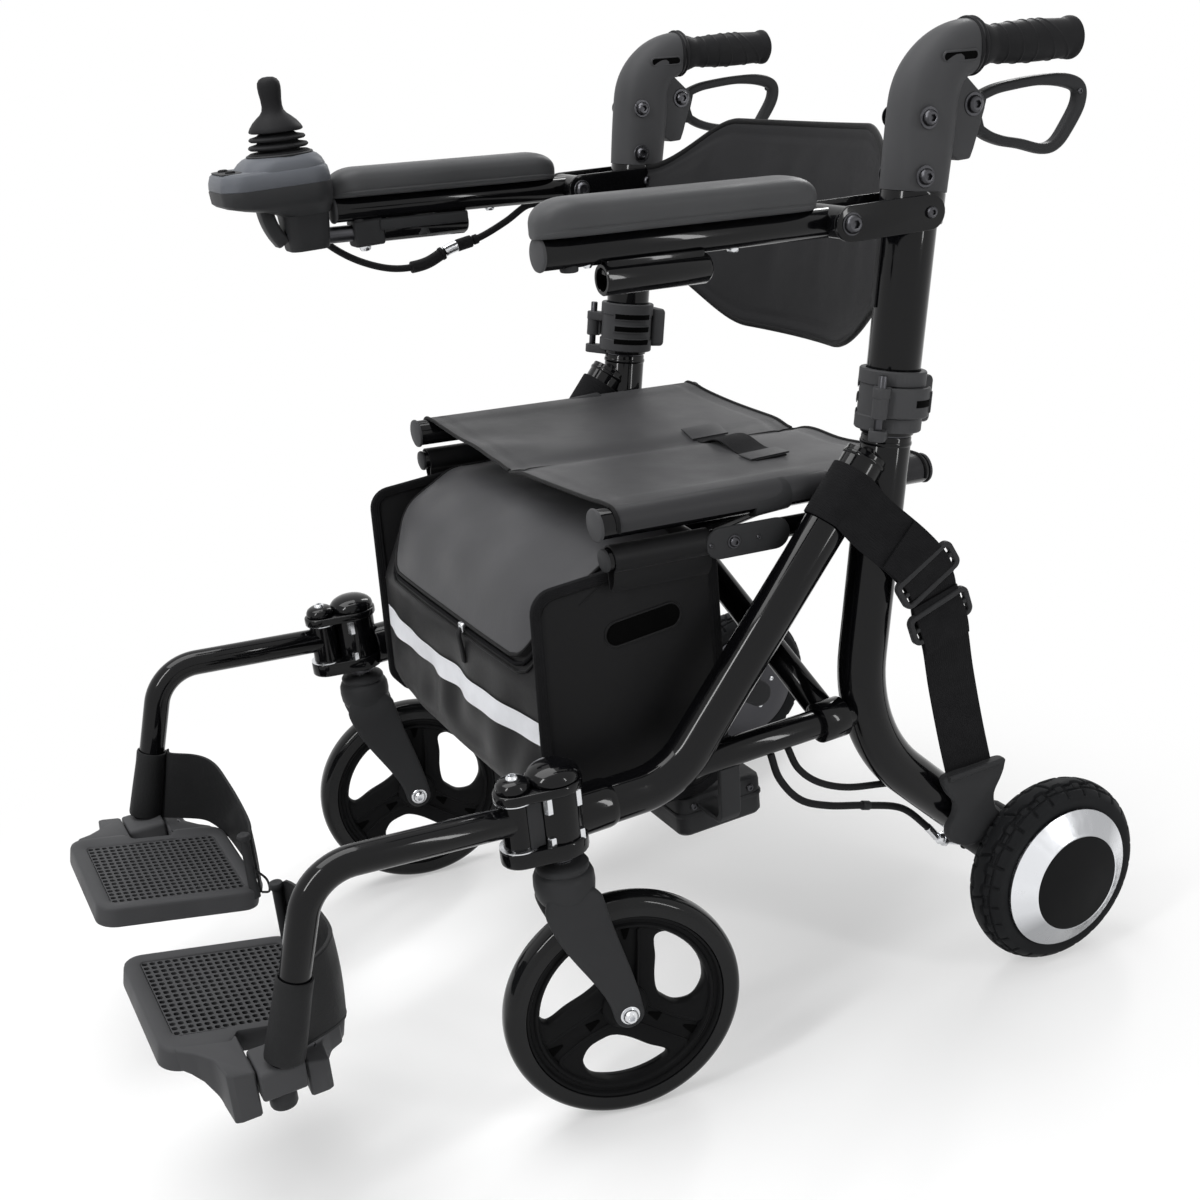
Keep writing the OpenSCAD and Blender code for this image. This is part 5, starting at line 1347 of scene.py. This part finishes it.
class CHAIR_OT_seat(ChairOperator):
    """Make the two halves of the seat sling and its pull strap"""
    bl_idname = "chair.seat"
    bl_label = "Seat"

    def make(self, size):
        for name, body, sign in (("left", "cross_a", 1), ("right", "cross_b", -1)):
            shapes = mirrored(self.half(size, sign), sign)
            made = piece(f"dressed_seat_{name}", shapes, body, ("seat_sling",), 60)
            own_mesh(made)
            if sign > 0:
                strap = piece("pull_strap", self.strap(), body)
                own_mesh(strap)

    def sag(self, u, v, sign):
        """Drop of the cloth below the rails: a hollow, the crease along the middle, and a few soft wrinkles."""
        hollow = 9 * (1 - u * u) + 5 * np.exp(-(u * 11) ** 2)
        crease = 1.2 * np.sin(9 * v + 3 * sign + 2 * u) * ridge(u, 0.5, 0.4)
        pull = 1.6 * np.sin(14 * u + 7 * v + sign) * ridge(v, 0.5 + 0.45 * sign, 0.22) * (1 - u)
        return hollow + crease + pull

    def half(self, size, sign):
        """Sheet from the middle crease over the rail and round under it, with hems, seam lines and bound edges."""
        r = size.rail_r + 1.4
        flat = np.linspace(0, RAIL_X, 40)
        turn = np.radians(np.linspace(90, -24, 18))[1:]
        v = np.linspace(0, 1, 64)
        y = RAIL_FRONT + 13 + v * (STUB_REAR - RAIL_FRONT - 19)
        u = flat / RAIL_X
        gu, gv = np.meshgrid(u, v)
        level = r - self.sag(gu, gv, sign) * (1 - ease((gu - 0.8) / 0.2))
        level -= 0.7 * ridge(gu, 0.86, 0.012)
        hem = ridge(v, 0.045, 0.008) + ridge(v, 0.955, 0.008)
        over = np.broadcast_to([RAIL_X, 0] + r * spokes(turn), (len(v), len(turn), 2))
        x = np.concatenate([np.broadcast_to(flat, gu.shape), over[..., 0]], 1)
        z = np.concatenate([level - 1.1 * hem[:, None], over[..., 1]], 1)
        yy = np.broadcast_to(y[:, None], x.shape)
        points = np.stack([x, yy, z + rail_h(yy)], -1)
        bound = [tube(points[row] + 0.2 * Z, 1.7, "piping", 12, 0.4) for row in (0, -1)]
        return [thicken(points, 1.8, "cloth")] + bound

    def strap(self):
        """Pull strap across the crease: flat webbing with a raised middle and a stitched patch at each end."""
        x = np.linspace(-30, 124, 60)
        arch = 5 * np.sin(np.pi * np.clip((x - 4) / 84, 0, 1)) ** 2
        drop = 9 * (1 - (x / RAIL_X) ** 2) + 5 * np.exp(-(x / RAIL_X * 11) ** 2)
        y = 52 - 0.10 * x
        path = np.stack([x, y, rail_h(y) + 15.4 - drop + arch], 1)
        patches = [carry(path[np.abs(x - at) < 15] + 1.4 * Z, round_rect(38, 1.6, 0.7, 3), "cloth", Y)
                   for at in (-18, 108)]
        return [carry(path, round_rect(30, 1.8, 0.8, 3), "webbing", Y), *patches]


class CHAIR_OT_backrest(ChairOperator):
    """Make the padded back panel and the sleeves that hold it on the posts"""
    bl_idname = "chair.backrest"
    bl_label = "Backrest"

    middle = post_point(690)

    def edge(self, u, side, mid, flat):
        """Height of an edge across the panel: level in the middle, then easing to the posts."""
        return mid + (side - mid) * ease((np.abs(u) - flat) / (1 - flat))

    def panel(self, u, v, rear):
        """Point of the panel: u from post to post, v from the bottom to the top, bowed backwards and padded."""
        half = FRAME_X - 22
        lo, hi = self.edge(u, -54, -105, 0.35), self.edge(u, 38, 88, 0.5)
        pad = (1 - u ** 4) * np.sin(np.pi * np.clip(v, 0, 1)) ** 0.5
        stitch = ridge(v, 0.06, 0.012) + ridge(v, 0.94, 0.012)
        wrinkle = 1.1 * np.sin(7 * u + 5 * v) * ridge(np.abs(u), 0.85, 0.14)
        bow = 60 * (1 - u * u)
        y = bow - rear * (1.5 + 2.4 * pad) + stitch * (1.2 if rear else -0.8) + wrinkle
        z = lo + (hi - lo) * v
        back = unit(np.cross(POST_WAY, X))
        back = back * np.sign(back[1])
        foot = self.middle * [0, 1, 1]
        return foot + (half * u)[..., None] * X + y[..., None] * back + z[..., None] * POST_WAY

    def make(self, size):
        u, v = np.linspace(-1, 1, 110), np.linspace(0, 1, 60)
        gu, gv = np.meshgrid(u, v)
        front, back = self.panel(gu, gv, 2.0), self.panel(gu, gv, 0.0)
        held = np.zeros((len(v), 2 * len(u)), bool)
        held[np.abs(np.abs(v - 0.5) - 0.44) < 0.012] = True
        held[[0, -1]] = True
        held[:, [0, len(u) - 1, len(u), -1]] = True
        # The panel's cloth is a darker copy of the seat's: painted shade.
        shapes = [inflate(double(front, back, "back_cloth"), held.ravel(), 7)]
        shapes += [tube((front + back)[row] / 2, size.piping_r + 0.6, "piping", 16, 0.5) for row in (0, -1)]
        made = dress("backrest", shapes, "right_post", 50)
        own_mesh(made)
        arc = spokes(np.radians(np.linspace(118, 262, 40)))
        cuff = np.r_[(size.post_r + 1.8) * arc, (size.post_r + 0.3) * arc[::-1]]
        path = [self.middle + k * POST_WAY for k in (-54, -52, -20, 10, 36, 38)]
        for side, sign in SIDES:
            # The cuffs share the backrest's darker cloth: painted shade.
            shapes = mirrored([carry(path, cuff, "back_cloth", X)], sign)
            piece(f"back_cuff_{side}", shapes, f"{side}_post")


class CHAIR_OT_bag(ChairOperator):
    """Make the under-seat bag with its lid, zip, stripe and side panels"""
    bl_idname = "chair.bag"
    bl_label = "Bag"

    half = 186.0

    def outline(self):
        """Side view of the soft body, from the back of the lid forwards and round to where it started."""
        corners = [[-62, 462], [-150, 465], [-200, 437], [-233, 372], [-238, 268], [-224, 246], [-90, 243], [-64, 256]]
        path = fillet_loop(corners, [8, 34, 40, 16, 18, 12, 10, 10], 8)
        return np.r_[path, path[:1]]

    def body(self, u, s, lift=0.0):
        """Point of the soft body: s runs round the outline, u across; it swells in the middle and creases."""
        path = self.outline()
        run = measure(path) / measure(path)[-1]
        place = lambda s: np.stack([np.interp(s, run, path[:, k]) for k in (0, 1)], -1)
        flat = place(s)
        way = unit(place((s + 0.002) % 1) - flat + 1e-9)
        y, z = flat[..., 0], flat[..., 1]
        on_front, on_top = ridge(y, -236, 26), ease((z - 380) / 50)
        swell = (9 * on_front + 10 * on_top) * (1 - np.abs(u) ** 3.2)
        hang = ease((400 - z) / 130) * ease((z - 252) / 40)
        folds = (3.2 * np.sin(9 * u + 0.03 * z + 1.2 * np.sin(5 * u)) + 2.4 * np.sin(6 * u - 0.06 * z)
                 + 1.6 * np.sin(19 * u - 0.035 * z + 2)) * on_front * hang
        dents = (1.8 * np.sin(6.5 * u + 0.05 * y + 1) * np.sin(0.045 * z + 3 * u)
                 + 0.9 * np.sin(4 * u - 0.09 * y) * np.sin(11 * u + 0.04 * y)) * on_top
        reach = (swell + folds + dents + lift) * (1 - np.abs(u) ** 14)
        return np.stack([self.half * u, y + way[..., 1] * reach, z - way[..., 0] * reach], -1)

    def at(self, y, z):
        """Share of the way round the outline that lies nearest a (y, z) point."""
        fine = resample(self.outline(), 800)
        return np.argmin(np.hypot(fine[:, 0] - y, fine[:, 1] - z)) / 799

    def make(self, size):
        u, s = np.linspace(-1, 1, 120), np.linspace(0, 1, 220, endpoint=False)
        gs, gu = np.meshgrid(s, u, indexing="ij")
        # The body's cloth is a darker copy of the seat's: painted shade.
        shell = surface(self.body(gu, gs), "bag_cloth", True, False)
        sides = [list(range(0, gu.size, len(u))), list(range(len(u) - 1, gu.size, len(u)))[::-1]]
        shapes = [shell._replace(faces=shell.faces + sides)] + self.lid() + self.stripe() + self.panels(size)
        made = dress("bag", shapes, "right_frame", 55)
        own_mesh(made)

    def patch(self, v, w, lift, grow=0.0):
        """Point of the lid: v from its front edge to the back, w across; it narrows to round front corners."""
        near, far = self.at(-231, 388), self.at(-90, 463)
        reach = (0.82 + 0.12 * ease(v / 0.4)) * (0.86 + 0.14 * np.sqrt(1 - (1 - np.clip(v / 0.12, 0, 1)) ** 2))
        s = near + (far - near) * v + grow * 0.22 * (1 - ease(v / 0.1))
        return self.body(w * (reach + grow), s, lift)

    def lid(self):
        """Lid: a panel that stands proud of the body, piped, with a double zip round it and a puller in front."""
        v, w = np.linspace(0, 1, 60), np.linspace(-1, 1, 90)
        gv, gw = np.meshgrid(v, w, indexing="ij")
        side = np.linspace(0, 1, 50)
        edge_v = np.r_[side[::-1], np.zeros(70), side]
        edge_w = np.r_[-np.ones(50), np.linspace(-1, 1, 72)[1:-1], np.ones(50)]
        edge = lambda lift, grow: self.patch(edge_v, edge_w, lift, grow)
        wall = np.stack([edge(5.5, 0), edge(3, 0.012), edge(-2, 0.014)])
        hook = self.patch(point(0.0), point(0.3), 4.0, 0.04)[0]
        tab = hook + [[0, -4, 1], [0, -6, -5], [0, -5, -16], [0, -4, -31]]
        return [
            # The lid's cloth is a lighter copy of the seat's: painted sheen.
            surface(self.patch(gv, gw, 5.5), "lid_cloth", wrap_cols=False),
            # The wall round the lid is in the darker copy of the cloth: painted shade.
            surface(wall, "bag_cloth", wrap_cols=False),
            tube(edge(5.2, 0.004), 1.6, "piping", 10, 0.3),
            tube(edge(1.8, 0.04), 1.9, "zip", 10, 0.3),
            tube(edge(1.2, 0.075), 1.2, "piping", 10, 0.3),
            carry(spline(tab, 6), round_rect(7, 3, 1.3), "rubber", X),
            slab(round_rect(9, 9, 2.5), 4, hook + 2 * Z, X, Z, "steel", 1),
        ]

    def stripe(self):
        """Reflective tape across the front, laid on the creased cloth."""
        s0, s1 = sorted((self.at(-235, 341), self.at(-236, 320)))
        gs, gu = np.meshgrid(np.linspace(s0, s1, 10), np.linspace(-0.985, 0.985, 160), indexing="ij")
        return [surface(self.body(gu, gs, 1.1), "stripe", wrap_cols=False)]

    def panels(self, size):
        """Stiff side panels with piped edges, a hand slot, and a sleeve round the low rail."""
        edge = fillet_loop([[-64, 456], [-152, 462], [-234, 458], [-241, 262], [-226, 242], [-92, 238], [-66, 250]],
                           [10, 20, 16, 16, 12, 12, 10], 7)
        slot = round_rect(72, 22, 10.9, 8)
        tilt = unit(point(0, 1, 0.07))
        rise = np.cross(X, tilt)
        inset = lambda x, share, shift: np.c_[np.full(len(edge), x), edge * share + shift]
        shapes = []
        for sign in (1, -1):
            x = sign * (self.half + 2.2)
            hole = point(x + sign * 0.6, -137, 408)
            rim = hole + sign * 0.9 * X + laid(slot, tilt, rise)
            binding = round_rect(2 * size.piping_r, 10, 2.2)
            shapes += [
                # Side panels and slot rims in the darker copy of the cloth: painted shade.
                slab(edge[::sign], 2.4, X * (x - 1.2), Y, Z, "bag_cloth", 0.8),
                carry(inset(x, 0.97, [-4.6, 10.5]), binding, "webbing", X, True),
                carry(inset(x + sign * 1.3, 0.92, [-12.3, 28]), circle(0.5, 6), "piping", X, True),
                # Near-black plate in the hand slot: painted shade.
                slab(slot, 1.2, hole, tilt, sign * rise, "void", 0.3),
                carry(rim, circle(1.1, 8), "bag_cloth", X, True),
                self.sleeve(size, sign),
            ]
        return shapes

    def sleeve(self, size, sign):
        """Cloth loop over the low rail: down both sides of it to the panel."""
        r = size.low_r + 1.4
        ring = r * spokes(np.radians(np.linspace(-60, 230, 40)))
        end = ring[-1, 0]
        tail = [[end + 1.5, -13], [end + 2, -20], [end + 2.4, -28]]
        loop = np.r_[[[end + 4.4, -28], [3, -20]], ring, tail]
        points = [np.c_[sign * (LOW_X + loop[:, 0]), np.full(len(loop), y), low_h(y) + loop[:, 1]]
                  for y in np.linspace(-167, -76, 16)]
        # The loop is in the darker copy of the cloth: painted shade.
        return thicken(np.array(points), 1.4, "bag_cloth")


class CHAIR_OT_controller(ChairOperator):
    """Make the joystick controller and the battery case"""
    bl_idname = "chair.controller"
    bl_label = "Controller and Battery"

    def make(self, size):
        at = STICK * point(1, 1, 0)
        self.case(at)
        boot = [[29, 787], [29, 789.4], [27, 790.4], [20, 790.8], [19.4, 792.4], [26.4, 793], [28, 794.2],
                [28.2, 795.4], [27, 796.8], [20, 798.4], [19, 799.8], [25, 800.4], [26.4, 801.4], [26.6, 802.6],
                [25.4, 804], [19, 805.4], [17.6, 806.4], [16, 807.4], [8, 808], [6, 807]]
        dress("joystick_boot", [lathe(boot, at, Z, "rubber", 80)], "right_arm")
        knob = [[0, 772], [4, 772], [4, 807.4], [12, 807.8], [23.6, 808], [25.2, 808.8], [25.4, 810], [24, 812.8],
                [20.6, 817.2], [16.4, 821], [12.6, 824], [10.4, 827], [9.6, 831], [9.8, 837], [10.6, 843], [10.9, 848],
                [10.4, 852], [8.4, 855], [5, 856.8], [0, 857.3]]
        dress("joystick_stick", [lathe(knob, at, Z, "rubber", 80)], "joystick_handle")
        ring = [tube([STICK - 28 * X, STICK + 28 * X], 4, "steel", 24),
                tube([STICK - 12 * Y, STICK + 12 * Y], 3, "steel", 24),
                slab(round_rect(13, 13, 2), 10, STICK - 5 * Z, X, Y, "steel", 1)]
        dress("joystick_gimbal", ring, "joystick_ring")
        for index, x in ((1, -13), (2, 13)):
            top = [[0, -4], [4.8, -4], [4.8, 2.2], [4.4, 3], [3, 3.4], [0, 3.5]]
            made = lathe(top, at + [x, -53, 776], Z, "rubber", 40)
            dress(f"joystick_button_{index}", [made], f"button_{index}")
        self.battery()

    def loft(self, at, rows, material):
        """Case: round-cornered outlines stacked row by row; a row is (height, half width, front, rear, corner)."""
        rings = []
        for z, half, front, rear, corner in rows:
            flat = round_rect(2 * half, rear - front, corner, 8) + point(0, (front + rear) / 2)
            rings.append(np.c_[flat + at[:2], np.full(len(flat), z)])
        return close_ends(surface(rings, material), len(rings[0]))

    def case(self, at):
        lower = [(731, 24, -8, 36.5, 12), (737, 30, -24, 38, 16), (742, 38, -48, 38.8, 20), (746, 41, -63, 39.2, 22),
                 (749, 42, -66.6, 39.4, 23), (760, 42.4, -67.5, 39.6, 23), (761, 42, -67, 39.4, 23)]
        upper = [(760.4, 41.4, -66.4, 38.8, 23), (762, 42.2, -67.2, 39.2, 23), (768, 41.8, -66.6, 39, 23),
                 (774, 40, -64.6, 38, 22), (776.4, 37, -61.6, 36, 20), (777, 34, -58, 34, 18)]
        hump = [(772, 39, -44, 37, 22), (777, 38.6, -42, 37, 24), (782, 36.4, -38, 35.4, 25),
                (785.4, 33, -34.4, 33, 26), (787, 30, -31, 30.4, 26), (787.4, 26, -27, 27, 24)]
        neck = [(697, 17, -6, 32, 10), (699, 18, -7, 33, 11), (716, 20, -8, 35, 12), (730, 21, -9, 36, 12),
                (738, 24, -14, 37, 14)]
        ring = [[24, 786.4], [31, 786.6], [31.6, 787.8], [30.6, 788.8], [24, 789]]
        bezel = [[5.3, 777.2], [7, 777.4], [7.4, 776.8]]
        hook = spline([at + [0, -24, 743], at + [0, -21.5, 728], at + [0, -17, 716], at + [0, -11, 706]], 8)
        under = lambda x, y, z: arm_at(x, y, z) * [-1, 1, 1]
        clamp = under(4, -222, -23.5)
        knob = [[0, -4], [7, -4], [8.6, -2], [8.6, 3], [6, 5]]
        shapes = [
            self.loft(at, lower, "moulding"),
            self.loft(at, upper, "shell"),
            self.loft(at, hump, "shell"),
            self.loft(at, neck, "moulding"),
            lathe(ring, at, Z, "moulding", 72),
            slab(round_rect(50, 20, 8, 8), 1, at + [0, -53, 776.4], X, Y, "moulding", 0.4),
            *[lathe(bezel, at + [x, -53, 0], Z, "shell", 40) for x in (-13, 13)],
            carry(hook, round_rect(22, 13, 4), "moulding", X),
            tube([under(4, -288, -23.5), under(4, -136, -23.5)], 8, "dark_steel", 32),
            slab(round_rect(24, 26, 4), 30, clamp + 14 * Y, X, Z, "moulding", 2),
            bolt(clamp + [0, -4, -13], -Z, 6, 5, "steel"),
            carry([under(0, -212, -17), under(0, -120, -17)], round_rect(20, 11, 2.5), "moulding", X),
            lathe(knob, under(0, -166, -27), Z, "moulding", 40),
            *[bolt(under(0, y, -22), -Z, 5, 3, "steel") for y in (-206, -128)],
        ]
        dress("joystick_housing", shapes, "right_arm")

    def battery(self):
        low = point(145, -75, 0)
        case = [(196, 38, -36, 36, 8), (198, 43, -41, 41, 9), (201, 45, -43, 43, 10), (230, 45, -43, 43, 10),
                (234, 44, -42, 42, 9), (236, 41, -39, 39, 8)]
        lid = [(216, 45.6, -43.6, 43.6, 10), (217, 46, -44, 44, 10), (219, 46, -44, 44, 10),
               (220, 45.6, -43.6, 43.6, 10)]
        hook = [[184, -90, 226], [224, -90, 226], [228, -90, 232], [232, -90, 278]]
        shapes = [self.loft(low, case, "moulding"), self.loft(low, lid, "moulding"),
                  carry(fillet(hook, [4, 4], 5), round_rect(20, 6, 1.5), "moulding", Y)]
        shapes += [bolt([190.4, y, 226], X, 3.4, 1.6, "dark_steel") for y in (-104, -46)]
        dress("battery_pack", shapes, "left_frame")


class CHAIR_OT_belts(ChairOperator):
    """Make both halves of the lap belt, with adjusters and buckle"""
    bl_idname = "chair.belts"
    bl_label = "Lap Belt"

    def make(self, size):
        half = size.belt_w / 2
        along = unit(TUBE_HIGH - TUBE_LOW)
        front = np.cross(along, X)
        front = front * np.sign(front[2])
        seat = TUBE_LOW + along * (488 - TUBE_LOW[2]) / along[2]
        r = size.front_r + 1.7
        turn = np.radians(np.linspace(205, 8, 26))
        wrap = seat + r * laid(spokes(turn), X, front)
        x = FRAME_X + 23.6
        fall = spline([wrap[-1], [x - 1, 52, 468], [x + 1, 80, 440], [x + 3, 99, 416], [x + 4.5, 107, 398],
                       [x + 2, 112, 378], [x + 5, 119, 352], [x + 1.5, 128, 306], [x + 1, 138, 252],
                       [x + 2, 147, 206]], 10)
        path = np.r_[wrap[:-1], fall]
        way = unit(np.gradient(path, axis=0))
        across = np.cross(X, way)
        blend = ease((np.arange(len(path)) - len(wrap) + 4) / 10)[:, None]
        across = along * (1 - blend) + across * np.sign((across @ along)[len(wrap) + 8]) * blend
        shapes = [carry(path, round_rect(2 * half, 2.2, 1, 4), "webbing", across)]
        for low, high in ((400, 446), (340, 392)):
            pick = (path[:, 2] > low) & (path[:, 2] < high) & (np.arange(len(path)) > len(wrap))
            lift = np.sin(np.pi * np.linspace(0, 1, pick.sum())) * 3 + 2.2
            layer = path[pick] + lift[:, None] * X
            shapes.append(carry(layer, round_rect(2 * half - 1, 2.2, 1, 4), "webbing", across[pick]))
        for z, lift in ((412, 2.5), (372, 3.0)):
            shapes += self.adjuster(path, across, z, half, lift)
        pair("seat_belt", shapes + self.buckle(path[-1]), "frame")

    def adjuster(self, path, across, z, half, lift):
        """Adjuster: a rounded frame round the strap with a bar across it."""
        k = np.argmin(np.abs(path[30:, 2] - z)) + 30
        centre = path[k] + lift * X
        u = unit(across[k] * point(0, 1, 1))
        v = np.cross(X, u)
        ring = round_rect(2 * half + 11, 24, 5, 6)
        line = centre + laid(ring, u, v)
        bar = [centre - (half + 3) * u, centre + (half + 3) * u]
        return [carry(line, round_rect(7, 5, 2), "moulding", X, True), carry(bar, round_rect(6, 4, 1.5), "moulding", X)]

    def buckle(self, at):
        """Buckle: a flat case with hollowed sides, and a lip at its mouth."""
        inner, outer = at[0] - 3, at[0] + 8
        case = [[-32, 8], [0, 9], [33, 8], [35, 0], [31, -10], [23, -24], [24, -38], [30, -50], [22, -62], [-4, -70],
                [-26, -60], [-30, -46], [-22, -34], [-21, -22], [-30, -8]]
        mouth = [[outer, at[1] + y, at[2] + 7] for y in (-30, 31)]
        return [side_slab(spline(at[1:] + case, 6, True), inner, outer, "moulding", 3),
                carry(mouth, round_rect(5, 6, 2), "moulding", X)]


class CHAIR_OT_cables(ChairOperator):
    """Make the brake cables and the controller's lead"""
    bl_idname = "chair.cables"
    bl_label = "Cables"

    def make(self, size):
        route = [[216, -38, 268], [216, -30, 240], [216, -10, 213], [216, 20, 197], [216, 60, 184], [216, 100, 168],
                 [215, 128, 140], [214, 142, 122]]
        beside = [[222, -24, 272], [222, -14, 248], [222, 6, 228], [222, 36, 213], [222, 74, 204], [221, 104, 197],
                  [220, 122, 186]]
        path, clip = spline(route, 8), point(216, 60, 184)
        shapes = [tube(path, 3.4, "rubber", 20, 0.5), tube(spline(beside, 8), 3.2, "rubber", 20, 0.5),
                  tube(path[-8:], 4, "steel", 20, 0.5),
                  tube([clip - [0, 4, -1.4], clip + [0, 4, -1.4]], 4.4, "moulding", 20, 0.6)]
        pair("brake_cable", shapes, "frame")
        lead = [[-256, -236, 732], [-256, -232, 712], [-256, -212, 690], [-256, -184, 672], [-256, -152, 661],
                [-256, -120, 661], [-256, -90, 672], [-255, -58, 678], [-252, -28, 690], [-246, -6, 703],
                [-240, 8, 704]]
        path = resample(spline(lead, 12), 160)
        shapes = [tube(path, 3.5, "rubber", 24, 0.6)]
        run = measure(path)
        where = run[np.argmin(np.abs(path[:, 1] + 92))]
        for start, stop, r, material in ((-46, -10, 6, "rubber"), (-12, -6, 6.8, "rubber"), (-6, 10, 5.6, "steel"),
                                         (8, 26, 6.2, "rubber"), (26, 34, 5, "rubber")):
            pick = (run >= where + start) & (run <= where + stop)
            shapes.append(tube(path[pick], r, material, 32, 0.7))
        shapes.append(tube(path[run < 34], 4.8, "rubber", 24, 0.8))
        dress("controller_cable", shapes, "right_arm")


class CHAIR_OT_stage(ChairOperator):
    """Make the floor, the studio light and the camera of the photograph"""
    bl_idname = "chair.stage"
    bl_label = "Stage"

    white = (1, 1, 1, 1)

    def make(self, size):
        self.camera()
        self.floor()
        self.world()
        self.lamps()
        bpy.context.scene.view_settings.view_transform = "Standard"

    def camera(self):
        right, up, back = (0.45931, 0.88321, -0.09472), (-0.27438, 0.24249, 0.93055), (0.84484, -0.40142, 0.35371)
        data = bpy.data.cameras.new("camera")
        data.sensor_width, data.lens = 36, 48.1
        camera = placed("camera", data)
        camera.matrix_world = self.matrix(right, up, back, (1.2946, -0.5634, 0.9022))
        bpy.context.scene.camera = camera

    def matrix(self, right, up, back, place):
        """Place and turn of a camera or lamp, from its axes."""
        return Matrix([*zip(right, up, back, place), (0, 0, 0, 1)])

    def blend(self, tree, share, plain, white, output):
        """Shows white in place of the plain shader by a share."""
        mix = add_node(tree, "MixShader", {0: share, 1: plain.outputs[0], 2: white.outputs[0]})
        tree.links.new(mix.outputs[0], tree.nodes[output].inputs["Surface"])

    def floor(self):
        """Floor: pale and shaded round the chair, and plain white further off for the camera and mirror paths."""
        made = Finish("floor", bpy.context.scene.chair_colours.floor, 0.7, shine=0.1)
        made.mottle(0.004, made.noise(3, 2))
        tree = made.tree
        away = add_node(tree, "VectorMath", {0: made.where}, operation="LENGTH").outputs["Value"]
        inputs = {"Value": away, "From Min": 0.3, "From Max": 0.85, "To Min": 0.38}
        fade = add_node(tree, "MapRange", inputs, interpolation_type="SMOOTHSTEP").outputs["Result"]
        white = add_node(tree, "Emission", {"Color": self.white, "Strength": 1})
        self.blend(tree, combine(tree, seen(tree), fade, "MULTIPLY"), made.shader, white, "Material Output")
        mesh = bpy.data.meshes.new("floor")
        far = 12
        mesh.from_pydata([(-far, -far, 0), (far, -far, 0), (far, far, 0), (-far, far, 0)], [], [(0, 1, 2, 3)])
        mesh.materials.append(made.material)
        placed("floor", mesh)

    def world(self):
        """White behind the chair for the camera and for mirror paths, softer for the light that falls on it."""
        world = bpy.data.worlds.new("studio")
        bpy.context.scene.world = world
        world.use_nodes = True
        tree = world.node_tree
        plain = tree.nodes["Background"]
        plain.inputs["Color"].default_value, plain.inputs["Strength"].default_value = self.white, 0.27
        white = add_node(tree, "Background", {"Color": self.white, "Strength": 1})
        self.blend(tree, seen(tree), plain, white, "World Output")

    def lamps(self):
        """Area lamps, each turned to face a point of the chair."""
        for name, place, aim, wide, power in (
            ("key", (0.9, -2.4, 2.4), (0, 0, 0.4), (0.34, 1.8), 42),
            ("top", (-0.5, -0.5, 2.9), (0, 0, 0.4), (1.8, 2.4), 70),
            ("side", (2.8, 1.5, 1.5), (0, 0.1, 0.4), (0.26, 1.8), 24),
            ("rear", (-1.6, 2.2, 2.2), (0, 0, 0.5), (0.36, 1.6), 26),
        ):
            data = bpy.data.lights.new(name, "AREA")
            data.shape, data.size, data.size_y, data.energy = "RECTANGLE", *wide, power
            back = unit(np.subtract(place, aim))
            right = unit(np.cross(Y if abs(back[2]) > 0.95 else Z, back))
            placed(name, data).matrix_world = self.matrix(right, np.cross(back, right), back, place)


OPERATORS = (
    CHAIR_OT_materials, CHAIR_OT_stage, CHAIR_OT_cables, CHAIR_OT_side_frames, CHAIR_OT_cross, CHAIR_OT_posts,
    CHAIR_OT_clamps, CHAIR_OT_armrests, CHAIR_OT_casters, CHAIR_OT_rear_wheels, CHAIR_OT_footrests, CHAIR_OT_seat,
    CHAIR_OT_backrest, CHAIR_OT_bag, CHAIR_OT_controller, CHAIR_OT_belts,
)


class CHAIR_PT_panel(bpy.types.Panel):
    """The chair's pieces, sizes and colours"""
    bl_label = "Transport Chair"
    bl_space_type = "VIEW_3D"
    bl_region_type = "UI"
    bl_category = "Chair"

    def draw(self, context):
        for operator in OPERATORS:
            self.layout.operator(operator.bl_idname)
        for group in (context.scene.chair_sizes, context.scene.chair_colours):
            box = self.layout.box()
            for key in group.__annotations__:
                box.prop(group, key)


CLASSES = (ChairSizes, ChairColours, *OPERATORS, CHAIR_PT_panel)


def register():
    for cls in CLASSES:
        bpy.utils.register_class(cls)
    bpy.types.Scene.chair_sizes = bpy.props.PointerProperty(type=ChairSizes)
    bpy.types.Scene.chair_colours = bpy.props.PointerProperty(type=ChairColours)


def unregister():
    del bpy.types.Scene.chair_colours
    del bpy.types.Scene.chair_sizes
    for cls in reversed(CLASSES):
        bpy.utils.unregister_class(cls)


def main():
    """Makes the chair piece by piece."""
    register()
    for operator in OPERATORS:
        group, name = operator.bl_idname.split(".")
        getattr(getattr(bpy.ops, group), name)()


if __name__ == "__main__":
    main()
